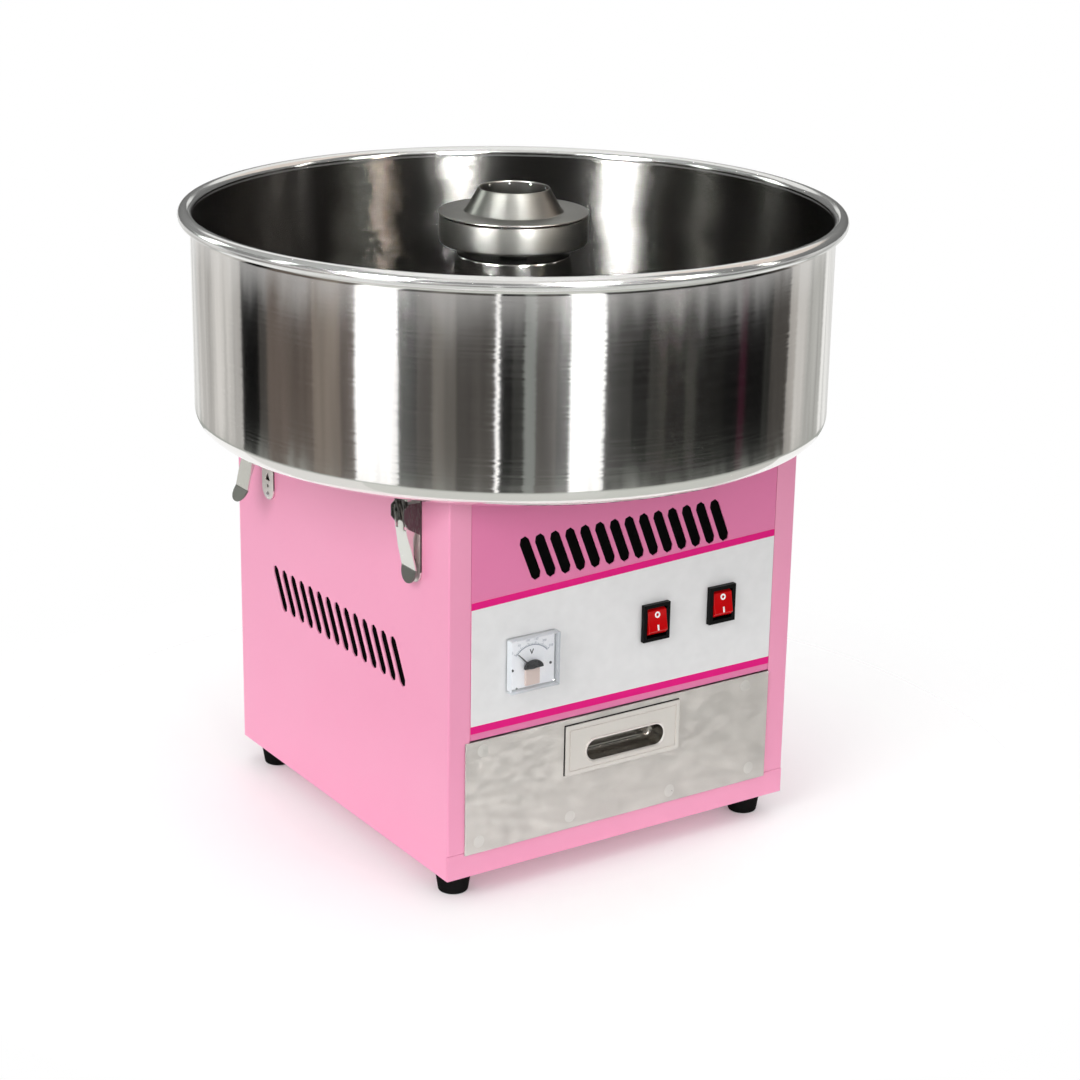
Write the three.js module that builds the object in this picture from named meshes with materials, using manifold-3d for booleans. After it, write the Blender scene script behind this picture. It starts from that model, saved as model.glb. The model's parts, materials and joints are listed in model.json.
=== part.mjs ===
// Countertop candy floss machine: a pink sheet steel cabinet on rubber feet, with a motor that
// turns a heated spinner head in the middle of a large steel bowl. The bowl is held down by four
// toggle latches and lifts off, and a drawer slides out under the control panel.
// Millimetres, +Z up, the front faces -Y, the origin lies on the table under the bowl's centre.

import * as THREE from "three";
import { mergeVertices } from "three/addons/utils/BufferGeometryUtils.js";
import Module from "manifold-3d";

// Clearances
const FIT = 0.3; // between pieces that seat on each other or pass through each other
const AIR_GAP = 0.6; // between rotor and stator

// Cabinet
const CAB_W = 320;
const CAB_D = 332;
const CAB_H = 300;
const SHEET = 1.2;
const FLANGE_W = 19; // front and back returns of the side panels
const APRON_H = 20.5; // front upstand of the base pan
const PAN_TURN_H = 16; // the pan's other upstands, inside the panels
const DECK_TURN_H = 15;
const DECK_HOLE_R = 24;
const SHELF_RETURN = 20; // the front panel's return over the drawer
const FOOT_H = 20;
const FOOT_TOP_R = 14.4;
const FOOT_BASE_R = 11.7;
const FOOT_STUD_R = 3;
const FOOT_STUD_UP = 5;
const FOOT_INSET_X = 20;
const FOOT_INSET_Y = 24;

// Vent slots, given by the lowest and highest tip of a slot
const VENT_COUNT = 14;
const VENT_W = 8.8;
const FRONT_VENT = { first: -82.4, pitch: 13.45, lean: -14.2, low: 228.6, high: 264 };
const SIDE_VENT = { first: -102, pitch: 14.48, lean: 18.4, low: 136.6, high: 172.1 };
const BACK_VENT = { first: -87.4, pitch: 13.45, lean: 0, low: 150, high: 182 };

// Printed control overlay, whose upper edge rises to the right
const OVERLAY_T = 0.4;
const OVERLAY_LOW = 116.5; // heights above the base pan
const OVERLAY_HIGH_LEFT = 220;
const OVERLAY_HIGH_RIGHT = 229.8;

// Drawer, which hangs a little left of the cabinet's middle
const DRAWER_X = -2.4;
const DRAWER_OPEN_H = 90.5;
const DRAWER_OVERLAP = 2; // front plate over the opening's sides and bottom
const DRAWER_TOP_GAP = 0.8;
const TRAY_SHEET = 1;
const TRAY_SIDE_GAP = 10.5;
const TRAY_LIFT = 3.5;
const TRAY_H = 76;
const TRAY_D = 296;
const RUNNER_LEDGE = 10;
const RUNNER_LIP = 16;
const RUNNER_D = 300;
const RUNNER_FOOT = 17;
const HANDLE = { z: 84.4, w: 107.6, h: 41.2, cupX: 1.9, cupZ: -3.6 };
const CUP_W = 74;
const CUP_H = 18.5;
const CUP_DEPTH = 16;

// Rocker switches
const SWITCH_W = 25;
const SWITCH_H = 30.4;
const SWITCH_PROUD = 4;
const SWITCH_BODY_W = 22;
const SWITCH_BODY_H = 27.6;
const SWITCH_DEPTH = 22;
const ROCKER_W = 17.6;
const ROCKER_HALF_H = 10.3;
const ROCKER_SIDE_GAP = 0.4;
const ROCKER_ANGLE = 9; // either way from level
const ROCKER_PIVOT_IN = 2; // pivot behind the panel's face
const ROCKER_CREST = 7.6; // from the pivot out to the rocker's two crests
const ROCKER_VALLEY = 5.6;
const ROCKER_NOSE_H = 3.4; // from a crest to the rocker's end
const ROCKER_NOSE_DROP = 3.2;
const ROCKER_PIN_R = 1.3;
const SWITCH_AT = { heat: [25.4, 175.1], power: [88.5, 177.9] };

// Voltmeter
const METER = { x: -89, z: 166, w: 43.5, h: 42.5 };
const METER_PROUD = 8.5;
const METER_WALL = 1.2;
const METER_BASE_T = 1.5;
const METER_BARREL_R = 18.5;
const METER_BARREL_DEPTH = 24;
const METER_DIAL_T = 0.6;
const METER_PIVOT_DROP = 5; // pivot below the meter's centre
const NEEDLE_L = 18;
const NEEDLE_W = 1.4;
const NEEDLE_ZERO = 45; // degrees left of upright
const SHROUD_R = 8.5;

// Power inlet in the back panel
const INLET = { x: 100, z: 40, w: 31, h: 24, flangeT: 2, bodyW: 27, bodyH: 20, depth: 20 };
const INLET_RECESS_W = 24.6;
const INLET_RECESS_H = 16.6;
const INLET_RECESS_D = 16;
const INLET_PIN = { w: 2, h: 4, spacing: 7, offset: 2, length: 12 };

// Motor, hung under the deck
const MOTOR_R = 52;
const MOTOR_WALL = 8;
const MOTOR_H = 85;
const BELL_H = 13;
const BELL_WALL = 3;
const BEARING_R = 11;
const BEARING_H = 7;
const BEARING_WALL = 4;
const SHAFT_R = 6;
const BRACKET_T = 2.5;
const BRACKET_DROP = 17;
const BRACKET_W = 90;
const BRACKET_L = 128;
const BRACKET_FOOT = 16;
const BRACKET_HOLE_R = 18;

// Slip rings and brushes above the deck, inside the column
const RING_HUB_R = 15;
const RING_T = 3.7;
const RING_H = 8;
const RING_PITCH = 20;
const RING_LOW = 60; // lower ring above the deck
const RING_SHOULDER_R = 20;
const RING_SHOULDER_H = 3.7;
const BRUSH_W = 5;
const BRUSH_H = 6;
const BRUSH_L = 11;
const HOLDER_X = 23;
const HOLDER_T = 8;
const HOLDER_W = 16;
const HOLDER_TOP = 96;
const HOLDER_FOOT = 14;

// Column cover
const COLUMN_R = 46;
const COLUMN_H = 135.5;
const COLUMN_SHEET = 1.2;
const COLUMN_HOLE_R = 9;
const COLUMN_FLANGE = 9;

// Spinner head
const HEAD_CLEAR = 7.5; // head's underside above the column
const HEAD_WALL = 1.5;
const HEAD_H = 21.8;
const HEAD_SLOT = 1.3; // the ring gap that the floss leaves through
const TOP_R = 59;
const TOP_LEDGE = 1; // top plate past the lower cup
const TOP_T = 1.4;
const CONE_BASE_R = 37.5;
const CONE_TOP_R = 28;
const CONE_H = 18.5;
const CONE_WALL = 1.5;
const POST_R = 2.5;
const POST_INSET = 9; // from the cup's outside
const POST_COUNT = 4;
const HEATER_INSET = 15; // from the cup's outside
const HEATER_T = 3;
const HEATER_H = 14;
const HUB_R = 11;
const HUB_CLEAR = 1.5;
const NUT_R = 10;
const NUT_H = 7;

// Bowl
const GASKET_H = 2.7;
const GASKET_R = 118;
const GASKET_W = 10;
const BOWL_R = 250.5;
const BOWL_H = 170;
const BOWL_SHEET = 1;
const BOWL_CORNER_R = 14;
const RIM_R = 5.5;
const RIM_OUT = 4; // bead's centre outside the wall
const BOWL_HOLE_R = 75;
const BOWL_LIP_H = 12;

// Toggle latches; out is measured from the side panel's outer face
const LATCH_Y = { front: -119, back: 111 };
const LATCH_W = 19;
const LATCH_PLATE_T = 1.5;
const LATCH_PLATE_LOW = 73; // plate's lower end below the cabinet's top
const LATCH_PLATE_TOP = 8;
const LATCH_WINDOW = { halfW: 4, low: 16, high: 23 }; // three-cornered, above the plate's end
const LATCH_EYE = { up: 11.5, r: 1.6 };
const EAR_T = 1.2;
const EAR_ROOT_DROP = 6;
const EAR_NIP = 4; // cut off the ear's top corner
const EAR_TAPER = { out: 5, up: 7 }; // cut off its lower corner
const EAR_OUT = 15.5;
const EAR_LOW = 29;
const EAR_TOP = 9.5;
const PIVOT_OUT = 11.5;
const PIVOT_DROP = 17; // lever's pivot below the cabinet's top
const PIVOT_R = 1.8;
const LEVER_T = 1.2;
const LEVER_CHEEK_T = 1;
const LEVER_WIDE = 10;
const LEVER_FLARE = [-17, -29]; // from the pivot, where the lever widens past the ears
const LEVER_WEB_TOP = [1.3, -13]; // front of the web, from the pivot: out and up
const LEVER_BEND = [-5.7, -45];
const LEVER_TIP = [-6.5, -56];
const LEVER_CHEEK_BACK = [[-2.6, 3.6], [-6.2, -6.5], [-6.6, -12.5], [-4.6, -20]];
const BAIL_PIN_BACK = 2.5; // bail's pin, from the lever's pivot towards the wall
const BAIL_PIN_DROP = 9.5;
const BAIL_R = 1.25;
const BAIL_HALF_W = 5.3;
const BAIL_OUT = 5.6; // bail's crossbar from its pin, outwards
const BAIL_RISE = 22.8;
const BAIL_CORNER = 2.6;
const CATCH_OUT = 7.6;
const CATCH_T = 1.4;
const CATCH_REACH = 3.7;
const CATCH_DROP = 11;
const CATCH_W = 14;
const BAIL_PER_LEVER = 1.2667; // degrees the bail folds back for each degree of the lever
const LEVER_OPEN = { front_left: 0, back_left: 25, front_right: 0, back_right: 0 };

// Fineness of round shapes
const BOWL_SIDES = 64;
const HEAD_SIDES = 40;
const ROUND = 32;
const MOTOR_SIDES = 24;
const SMALL_ROUND = 12;
const POST_SIDES = 8;
const WIRE_SIDES = 6;
const WIRE_STEPS = 34;

// Heights and planes that follow from the sizes above
const CAB_LO = FOOT_H;
const CAB_HI = FOOT_H + CAB_H;
const FACE_X = CAB_W / 2;
const FACE_Y = CAB_D / 2;
const INNER_X = FACE_X - SHEET - FIT;
const INNER_Y = FACE_Y - SHEET - FIT;
const SEAM_X = FACE_X - FLANGE_W; // inner edge of the side panels' returns
const APRON_TOP = CAB_LO + APRON_H;
const OPEN_TOP = APRON_TOP + DRAWER_OPEN_H;
const DECK_LO = CAB_HI - SHEET;
const OVERLAY_Y = -FACE_Y - OVERLAY_T;
const BOWL_LO = CAB_HI + GASKET_H + FIT;
const COLUMN_HI = CAB_HI + COLUMN_H;
const HEAD_LO = COLUMN_HI + HEAD_CLEAR;
const HEAD_R = TOP_R - TOP_LEDGE;
const POST_CIRCLE = HEAD_R - POST_INSET;
const HEATER_R = HEAD_R - HEATER_INSET;
const BRACKET_LO = DECK_LO - BRACKET_DROP;
const BELL_HI = BRACKET_LO - FIT;
const STATOR_HI = BELL_HI - BELL_H - FIT;
const STATOR_LO = STATOR_HI - MOTOR_H;
const BORE_R = SHAFT_R + FIT;

const wasm = await Module();
wasm.setup();

// A closed geometry as a solid that can be cut and joined.
function solidOf(geometry) {
  const bare = geometry.index ? geometry.toNonIndexed() : geometry.clone();
  bare.deleteAttribute("normal");
  bare.deleteAttribute("uv");
  const merged = mergeVertices(bare, 1e-4);
  const vertProperties = merged.attributes.position.array;
  const triVerts = new Uint32Array(merged.index.array);
  return new wasm.Manifold(new wasm.Mesh({ numProp: 3, vertProperties, triVerts }));
}

function geometryOf(solid) {
  const mesh = solid.getMesh();
  const geometry = new THREE.BufferGeometry();
  geometry.setAttribute("position", new THREE.BufferAttribute(mesh.vertProperties, 3));
  geometry.setIndex(new THREE.BufferAttribute(mesh.triVerts, 1));
  return geometry;
}

function join(...geometries) {
  const solids = geometries.map(solidOf);
  return geometryOf(solids.reduce((whole, next) => whole.add(next)));
}

function cut(geometry, ...tools) {
  return geometryOf(tools.map(solidOf).reduce((left, tool) => left.subtract(tool), solidOf(geometry)));
}

function common(first, second) {
  return geometryOf(solidOf(first).intersect(solidOf(second)));
}

// A block between two opposite corners, given in any order.
function block(x0, x1, y0, y1, z0, z1) {
  const geometry = new THREE.BoxGeometry(Math.abs(x1 - x0), Math.abs(y1 - y0), Math.abs(z1 - z0));
  return geometry.translate((x0 + x1) / 2, (y0 + y1) / 2, (z0 + z1) / 2);
}

// An outline pushed along an axis: (x, y) along z, (x, z) along y or (y, z) along x.
function prism(outline, axis, from, to, holes = []) {
  const shape = new THREE.Shape(outline.map(([u, v]) => new THREE.Vector2(u, v)));
  for (const hole of holes) {
    shape.holes.push(new THREE.Path(hole.map(([u, v]) => new THREE.Vector2(u, v))));
  }
  const geometry = new THREE.ExtrudeGeometry(shape, { depth: to - from, bevelEnabled: false });
  const x = new THREE.Vector3(1, 0, 0);
  const y = new THREE.Vector3(0, 1, 0);
  const z = new THREE.Vector3(0, 0, 1);
  const turn = new THREE.Matrix4();
  if (axis === "x") {
    geometry.applyMatrix4(turn.makeBasis(y, z, x)).translate(from, 0, 0);
  } else if (axis === "y") {
    geometry.applyMatrix4(turn.makeBasis(x, z, y.negate())).translate(0, to, 0);
  } else {
    geometry.translate(0, 0, from);
  }
  return geometry;
}

// Points on an arc, angles in degrees.
function arc(u, v, radius, start, end, steps) {
  const points = [];
  for (let i = 0; i <= steps; i += 1) {
    const angle = THREE.MathUtils.degToRad(start + ((end - start) * i) / steps);
    points.push([u + radius * Math.cos(angle), v + radius * Math.sin(angle)]);
  }
  return points;
}

function circle(u, v, radius, sides) {
  return arc(u, v, radius, 0, 360, sides).slice(0, -1);
}

function rectangle(u, v, width, height) {
  const w = width / 2;
  const h = height / 2;
  return [[u - w, v - h], [u + w, v - h], [u + w, v + h], [u - w, v + h]];
}

// A slot with round ends between two end centres.
function slotOutline(u0, v0, u1, v1, width, steps) {
  const lean = THREE.MathUtils.radToDeg(Math.atan2(v1 - v0, u1 - u0));
  const r = width / 2;
  return [...arc(u1, v1, r, lean - 90, lean + 90, steps), ...arc(u0, v0, r, lean + 90, lean + 270, steps)];
}

// A closed profile of (radius, height) points turned about the Z axis.
function turned(profile, sides = ROUND) {
  const points = profile.map(([r, z]) => new THREE.Vector2(r, z));
  const onAxis = profile[0][0] === 0 && profile.at(-1)[0] === 0;
  if (!onAxis) {
    points.push(points[0].clone());
  }
  if (THREE.ShapeUtils.area(points) < 0) {
    points.reverse();
  }
  const geometry = new THREE.LatheGeometry(points, sides);
  const x = new THREE.Vector3(1, 0, 0);
  const y = new THREE.Vector3(0, 1, 0);
  const z = new THREE.Vector3(0, 0, 1);
  return geometry.applyMatrix4(new THREE.Matrix4().makeBasis(x, z, y.negate()));
}

function ring(inner, outer, low, high, sides = ROUND) {
  return turned([[inner, low], [outer, low], [outer, high], [inner, high]], sides);
}

function disc(radius, low, high, sides = ROUND) {
  return turned([[0, low], [radius, low], [radius, high], [0, high]], sides);
}

// Round bar between two planes along X or Y.
function bar(axis, u, v, radius, from, to, sides = SMALL_ROUND) {
  return prism(circle(u, v, radius, sides), axis, from, to);
}

// Materials
const looks = {
  pink: { color: 0xfcaac8, roughness: 0.3, metalness: 0 },
  deepPink: { color: 0xe273a6, roughness: 0.3, metalness: 0 },
  overlay: { color: 0xdbdbdb, roughness: 0.4, metalness: 0 },
  polishedSteel: { color: 0xd8d8d6, roughness: 0.08, metalness: 1 },
  brushedSteel: { color: 0xbcb8b2, roughness: 0.4, metalness: 1 },
  zincSteel: { color: 0xb4b6b8, roughness: 0.35, metalness: 1 },
  darkSteel: { color: 0x7c7f82, roughness: 0.4, metalness: 1 },
  castAluminium: { color: 0xa9abad, roughness: 0.5, metalness: 1 },
  rubber: { color: 0x141414, roughness: 0.8, metalness: 0 },
  blackPlastic: { color: 0x111113, roughness: 0.35, metalness: 0 },
  redPlastic: { color: 0xd4000f, roughness: 0.25, metalness: 0 },
  dialWhite: { color: 0xf2f4fb, roughness: 0.6, metalness: 0 },
  clear: { color: 0xf4f7fa, roughness: 0.05, metalness: 0, transparent: true, opacity: 0.3 },
  brown: { color: 0x4a2a18, roughness: 0.5, metalness: 0 },
  brass: { color: 0xc8a050, roughness: 0.3, metalness: 1 },
  carbon: { color: 0x202022, roughness: 0.7, metalness: 0 },
  heater: { color: 0x8a6a58, roughness: 0.5, metalness: 1 },
};

const machine = new THREE.Group();
machine.name = "candy_floss_machine";

function piece(name, geometry, look, parent = machine) {
  const mesh = new THREE.Mesh(geometry, new THREE.MeshStandardMaterial(looks[look]));
  mesh.name = name;
  parent.add(mesh);
  return mesh;
}

// Cabinet

function footPlaces() {
  const places = [];
  for (const [end, y] of [["front", -1], ["back", 1]]) {
    for (const [side, x] of [["left", -1], ["right", 1]]) {
      const at = [x * (FACE_X - FOOT_INSET_X), y * (FACE_Y - FOOT_INSET_Y)];
      places.push({ name: `foot_${end}_${side}`, at });
    }
  }
  return places;
}

// A row of slots in the (across, height) plane of a panel.
function ventRow(row, axis, from, to) {
  const tools = [];
  const tall = row.high - row.low;
  const full = Math.hypot(tall, row.lean);
  const endIn = VENT_W / 2 / full;
  for (let i = 0; i < VENT_COUNT; i += 1) {
    const low = row.first + i * row.pitch;
    const u0 = low + row.lean * endIn;
    const v0 = CAB_LO + row.low + tall * endIn;
    const u1 = low + row.lean * (1 - endIn);
    const v1 = CAB_LO + row.high - tall * endIn;
    tools.push(prism(slotOutline(u0, v0, u1, v1, VENT_W, 3), axis, from, to));
  }
  return tools;
}

// Holes that the studs of the feet pass through, up to a height.
function studHoles(top) {
  return footPlaces().map(({ at }) => {
    const outline = circle(at[0], at[1], FOOT_STUD_R + FIT, SMALL_ROUND);
    return prism(outline, "z", CAB_LO - SHEET, top);
  });
}

function basePan() {
  const floor = block(-INNER_X, INNER_X, -FACE_Y, INNER_Y, CAB_LO, CAB_LO + SHEET);
  const apron = block(-FACE_X, FACE_X, -FACE_Y, SHEET - FACE_Y, CAB_LO, APRON_TOP);
  const turnTop = CAB_LO + PAN_TURN_H;
  const left = block(-INNER_X, SHEET - INNER_X, -FACE_Y, INNER_Y, CAB_LO, turnTop);
  const right = block(INNER_X - SHEET, INNER_X, -FACE_Y, INNER_Y, CAB_LO, turnTop);
  const back = block(-INNER_X, INNER_X, INNER_Y - SHEET, INNER_Y, CAB_LO, turnTop);
  return cut(join(floor, apron, left, right, back), ...studHoles(CAB_LO + 2 * SHEET));
}

function foot() {
  const edge = 1.5;
  return turned([
    [0, 0],
    [FOOT_BASE_R - edge, 0],
    [FOOT_BASE_R, edge],
    [FOOT_TOP_R, CAB_LO],
    [FOOT_STUD_R, CAB_LO],
    [FOOT_STUD_R, CAB_LO + FOOT_STUD_UP],
    [0, CAB_LO + FOOT_STUD_UP],
  ], MOTOR_SIDES);
}

function sidePanel(side) {
  const wall = block(side * FACE_X, side * (FACE_X - SHEET), -FACE_Y, FACE_Y, CAB_LO, CAB_HI);
  const front = block(side * FACE_X, side * SEAM_X, -FACE_Y, SHEET - FACE_Y, CAB_LO, CAB_HI);
  const back = block(side * FACE_X, side * SEAM_X, FACE_Y - SHEET, FACE_Y, CAB_LO, CAB_HI);
  const notchHi = APRON_TOP + FIT;
  const notch = block(side * (FACE_X + 1), side * (SEAM_X - 1), -FACE_Y - 1, -INNER_Y, CAB_LO - 1, notchHi);
  const low = Math.min(side * (FACE_X + 1), side * (FACE_X - SHEET - 1));
  const vents = ventRow(SIDE_VENT, "x", low, low + SHEET + 2);
  return cut(join(wall, front, back), notch, ...vents);
}

function frontPanel() {
  const half = SEAM_X - FIT;
  const sheet = block(-half, half, -FACE_Y, SHEET - FACE_Y, OPEN_TOP, CAB_HI);
  const shelf = block(-half, half, -FACE_Y, SHELF_RETURN - FACE_Y, OPEN_TOP, OPEN_TOP + SHEET);
  const from = -FACE_Y - 1;
  const to = SHEET - FACE_Y + 1;
  return cut(join(sheet, shelf), ...ventRow(FRONT_VENT, "y", from, to), ...controlHoles(from, to));
}

// Holes for the switches and the meter's barrel, in the panel and in the overlay alike.
function controlHoles(from, to) {
  const tools = Object.values(SWITCH_AT).map(([x, z]) => {
    const hole = rectangle(x, CAB_LO + z, SWITCH_BODY_W + 2 * FIT, SWITCH_BODY_H + 2 * FIT);
    return prism(hole, "y", from, to);
  });
  tools.push(bar("y", METER.x, CAB_LO + METER.z, METER_BARREL_R + FIT, from, to, ROUND));
  return tools;
}

function controlOverlay() {
  const half = SEAM_X - 2 * FIT;
  const low = CAB_LO + OVERLAY_LOW;
  const outline = [
    [-half, low],
    [half, low],
    [half, CAB_LO + OVERLAY_HIGH_RIGHT],
    [-half, CAB_LO + OVERLAY_HIGH_LEFT],
  ];
  const film = prism(outline, "y", OVERLAY_Y, -FACE_Y);
  return cut(film, ...controlHoles(OVERLAY_Y - 1, -FACE_Y + 1));
}

function backPanel() {
  const half = SEAM_X - FIT;
  const sheet = block(-half, half, FACE_Y - SHEET, FACE_Y, CAB_LO, CAB_HI);
  const from = FACE_Y - SHEET - 1;
  const to = FACE_Y + 1;
  const inletZ = CAB_LO + INLET.z;
  const opening = prism(
    rectangle(INLET.x, inletZ, INLET.bodyW + 2 * FIT, INLET.bodyH + 2 * FIT), "y", from, to);
  return cut(sheet, opening, ...ventRow(BACK_VENT, "y", from, to));
}

function topDeck() {
  const plate = block(-INNER_X, INNER_X, -INNER_Y, INNER_Y, CAB_HI - DECK_TURN_H, CAB_HI);
  const under = CAB_HI - DECK_TURN_H - 1;
  const inside = block(SHEET - INNER_X, INNER_X - SHEET, SHEET - INNER_Y, INNER_Y - SHEET, under, DECK_LO);
  return cut(plate, inside, disc(DECK_HOLE_R, DECK_LO - 1, CAB_HI + 1));
}

piece("base_pan", basePan(), "pink");
for (const { name, at } of footPlaces()) {
  piece(name, foot(), "rubber").position.set(at[0], at[1], 0);
}
piece("side_panel_left", sidePanel(-1), "pink");
piece("side_panel_right", sidePanel(1), "pink");
piece("front_panel", frontPanel(), "deepPink");
piece("control_overlay", controlOverlay(), "overlay");
piece("back_panel", backPanel(), "pink");
piece("top_deck", topDeck(), "zincSteel");
piece("bowl_gasket", ring(GASKET_R - GASKET_W, GASKET_R, CAB_HI, CAB_HI + GASKET_H), "rubber");

// Drawer: a tray on two runners, a front plate over the opening and a recessed pull

const TRAY_LO = APRON_TOP + TRAY_LIFT;
const TRAY_HALF_W = SEAM_X - TRAY_SIDE_GAP;
const FRONT_BACK_Y = -FACE_Y - FIT; // back of the drawer's front plate
const FRONT_FACE_Y = FRONT_BACK_Y - SHEET;
const CUP_X = DRAWER_X + HANDLE.cupX;
const CUP_Z = CAB_LO + HANDLE.z + HANDLE.cupZ;

// The pull's cup: a slot shape with round ends, grown by a margin all round.
function cupOutline(margin) {
  const reach = (CUP_W - CUP_H) / 2;
  return slotOutline(CUP_X - reach, CUP_Z, CUP_X + reach, CUP_Z, CUP_H + 2 * margin, 8);
}

function drawerTray() {
  const y0 = FRONT_BACK_Y + FIT;
  const y1 = y0 + TRAY_D;
  const top = TRAY_LO + TRAY_H;
  const left = DRAWER_X - TRAY_HALF_W;
  const right = DRAWER_X + TRAY_HALF_W;
  const outside = block(left, right, y0, y1, TRAY_LO, top);
  const t = TRAY_SHEET;
  const inside = block(left + t, right - t, y0 + t, y1 - t, TRAY_LO + t, top + 1);
  const cupWay = prism(cupOutline(SHEET + FIT), "y", y0 - 1, y0 + TRAY_SHEET + 1);
  return cut(outside, inside, cupWay);
}

function drawerFront() {
  const left = DRAWER_X - SEAM_X - DRAWER_OVERLAP;
  const right = DRAWER_X + SEAM_X + DRAWER_OVERLAP;
  const low = APRON_TOP - DRAWER_OVERLAP;
  const plate = block(left, right, FRONT_FACE_Y, FRONT_BACK_Y, low, OPEN_TOP - DRAWER_TOP_GAP);
  return cut(plate, prism(cupOutline(SHEET + FIT), "y", FRONT_FACE_Y - 1, FRONT_BACK_Y + 1));
}

function drawerHandle() {
  const back = FRONT_FACE_Y - FIT;
  const face = back - SHEET;
  const cupBack = face + CUP_DEPTH + SHEET;
  const plate = prism(rectangle(DRAWER_X, CAB_LO + HANDLE.z, HANDLE.w, HANDLE.h), "y", face, back);
  const cup = prism(cupOutline(SHEET), "y", face, cupBack);
  return cut(join(plate, cup), prism(cupOutline(0), "y", face - 1, cupBack - SHEET));
}

// Rail folded from sheet: a foot on the pan's floor held by the feet's studs, a ledge under the
// tray and a lip beside it.
function drawerRunner(side) {
  const floor = CAB_LO + SHEET;
  const ledge = TRAY_LO - FIT;
  const edge = TRAY_HALF_W + FIT;
  const outline = [
    [edge + RUNNER_FOOT, floor],
    [edge + RUNNER_FOOT, floor + SHEET],
    [edge + SHEET, floor + SHEET],
    [edge + SHEET, ledge + RUNNER_LIP],
    [edge, ledge + RUNNER_LIP],
    [edge, ledge],
    [edge - RUNNER_LEDGE, ledge],
    [edge - RUNNER_LEDGE, ledge - SHEET],
    [edge, ledge - SHEET],
    [edge, floor],
  ];
  const y0 = SHEET - FACE_Y + FIT;
  const rail = prism(outline.map(([x, z]) => [DRAWER_X + side * x, z]), "y", y0, y0 + RUNNER_D);
  return cut(rail, ...studHoles(floor + 2 * SHEET));
}

piece("drawer_runner_left", drawerRunner(-1), "zincSteel");
piece("drawer_runner_right", drawerRunner(1), "zincSteel");
piece("drawer_tray", drawerTray(), "brushedSteel");
piece("drawer_front", drawerFront(), "brushedSteel");
piece("drawer_handle", drawerHandle(), "polishedSteel");

// Rocker switches, both off: the upper half pressed in

function switchBody() {
  const back = OVERLAY_Y - FIT;
  const face = back - SWITCH_PROUD;
  const bezel = prism(rectangle(0, 0, SWITCH_W, SWITCH_H), "y", face, back);
  const body = prism(rectangle(0, 0, SWITCH_BODY_W, SWITCH_BODY_H), "y", face, back + SWITCH_DEPTH);
  const wellW = ROCKER_W + 2 * ROCKER_SIDE_GAP;
  const wellH = 2 * ROCKER_HALF_H + 3.6;
  const well = prism(rectangle(0, 0, wellW, wellH), "y", face - 1, back + SWITCH_DEPTH - SHEET);
  const pinReach = wellW / 2 + SHEET;
  const pins = bar("x", rockerPivotY(), 0, ROCKER_PIN_R + FIT, -pinReach, pinReach);
  return cut(join(bezel, body), well, pins);
}

function rockerPivotY() {
  return OVERLAY_Y + ROCKER_PIVOT_IN;
}

// The rocker about its pivot, before it is tilted; y points inwards.
function rocker() {
  const h = ROCKER_HALF_H;
  const outline = [
    [ROCKER_NOSE_DROP - ROCKER_CREST, -h],
    [-ROCKER_CREST, ROCKER_NOSE_H - h],
    [-ROCKER_VALLEY, 0],
    [-ROCKER_CREST, h - ROCKER_NOSE_H],
    [ROCKER_NOSE_DROP - ROCKER_CREST, h],
    [ROCKER_PIVOT_IN, h - 1.6],
    [ROCKER_CREST, 2.5],
    [ROCKER_CREST, -2.5],
    [ROCKER_PIVOT_IN, 1.6 - h],
  ];
  const paddle = prism(outline.toReversed(), "x", -ROCKER_W / 2, ROCKER_W / 2);
  const pinReach = ROCKER_W / 2 + ROCKER_SIDE_GAP + SHEET - FIT;
  return join(paddle, bar("x", 0, 0, ROCKER_PIN_R, -pinReach, pinReach));
}

for (const [name, [x, z]] of Object.entries(SWITCH_AT)) {
  const place = new THREE.Group();
  place.position.set(x, 0, CAB_LO + z);
  machine.add(place);
  piece(`${name}_switch_body`, switchBody(), "blackPlastic", place);
  const paddle = piece(`${name}_switch_rocker`, rocker(), "redPlastic", place);
  paddle.position.set(0, rockerPivotY(), 0);
  paddle.rotation.x = THREE.MathUtils.degToRad(-ROCKER_ANGLE);
}

// Voltmeter: barrel and base, dial, needle, a small cover over the needle's hub, clear case

const METER_BACK = OVERLAY_Y - FIT; // seat on the overlay
const METER_FACE = METER_BACK - METER_PROUD;
const DIAL_BACK = METER_BACK - METER_BASE_T - FIT;
const DIAL_FACE = DIAL_BACK - METER_DIAL_T;
const NEEDLE_BACK = DIAL_FACE - FIT;
const NEEDLE_HUB_R = 2.2;
const NEEDLE_HUB_T = 1.6;
const BLADE_T = 0.7;

function meterCase() {
  const w = METER.w - 2 * METER_WALL - 2 * FIT;
  const h = METER.h - 2 * METER_WALL - 2 * FIT;
  const face = METER_BACK - METER_BASE_T;
  const base = prism(rectangle(0, 0, w, h), "y", face, METER_BACK);
  const barrel = bar("y", 0, 0, METER_BARREL_R, face, METER_BACK + METER_BARREL_DEPTH, ROUND);
  return join(base, barrel);
}

function meterDial() {
  const w = METER.w - 2 * METER_WALL - 2 * FIT;
  const h = METER.h - 2 * METER_WALL - 2 * FIT;
  return prism(rectangle(0, 0, w, h), "y", DIAL_FACE, DIAL_BACK);
}

function meterLens() {
  const outside = prism(rectangle(0, 0, METER.w, METER.h), "y", METER_FACE, METER_BACK);
  const inW = METER.w - 2 * METER_WALL;
  const inH = METER.h - 2 * METER_WALL;
  return cut(outside, prism(rectangle(0, 0, inW, inH), "y", METER_FACE + METER_WALL, METER_BACK + 1));
}

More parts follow.
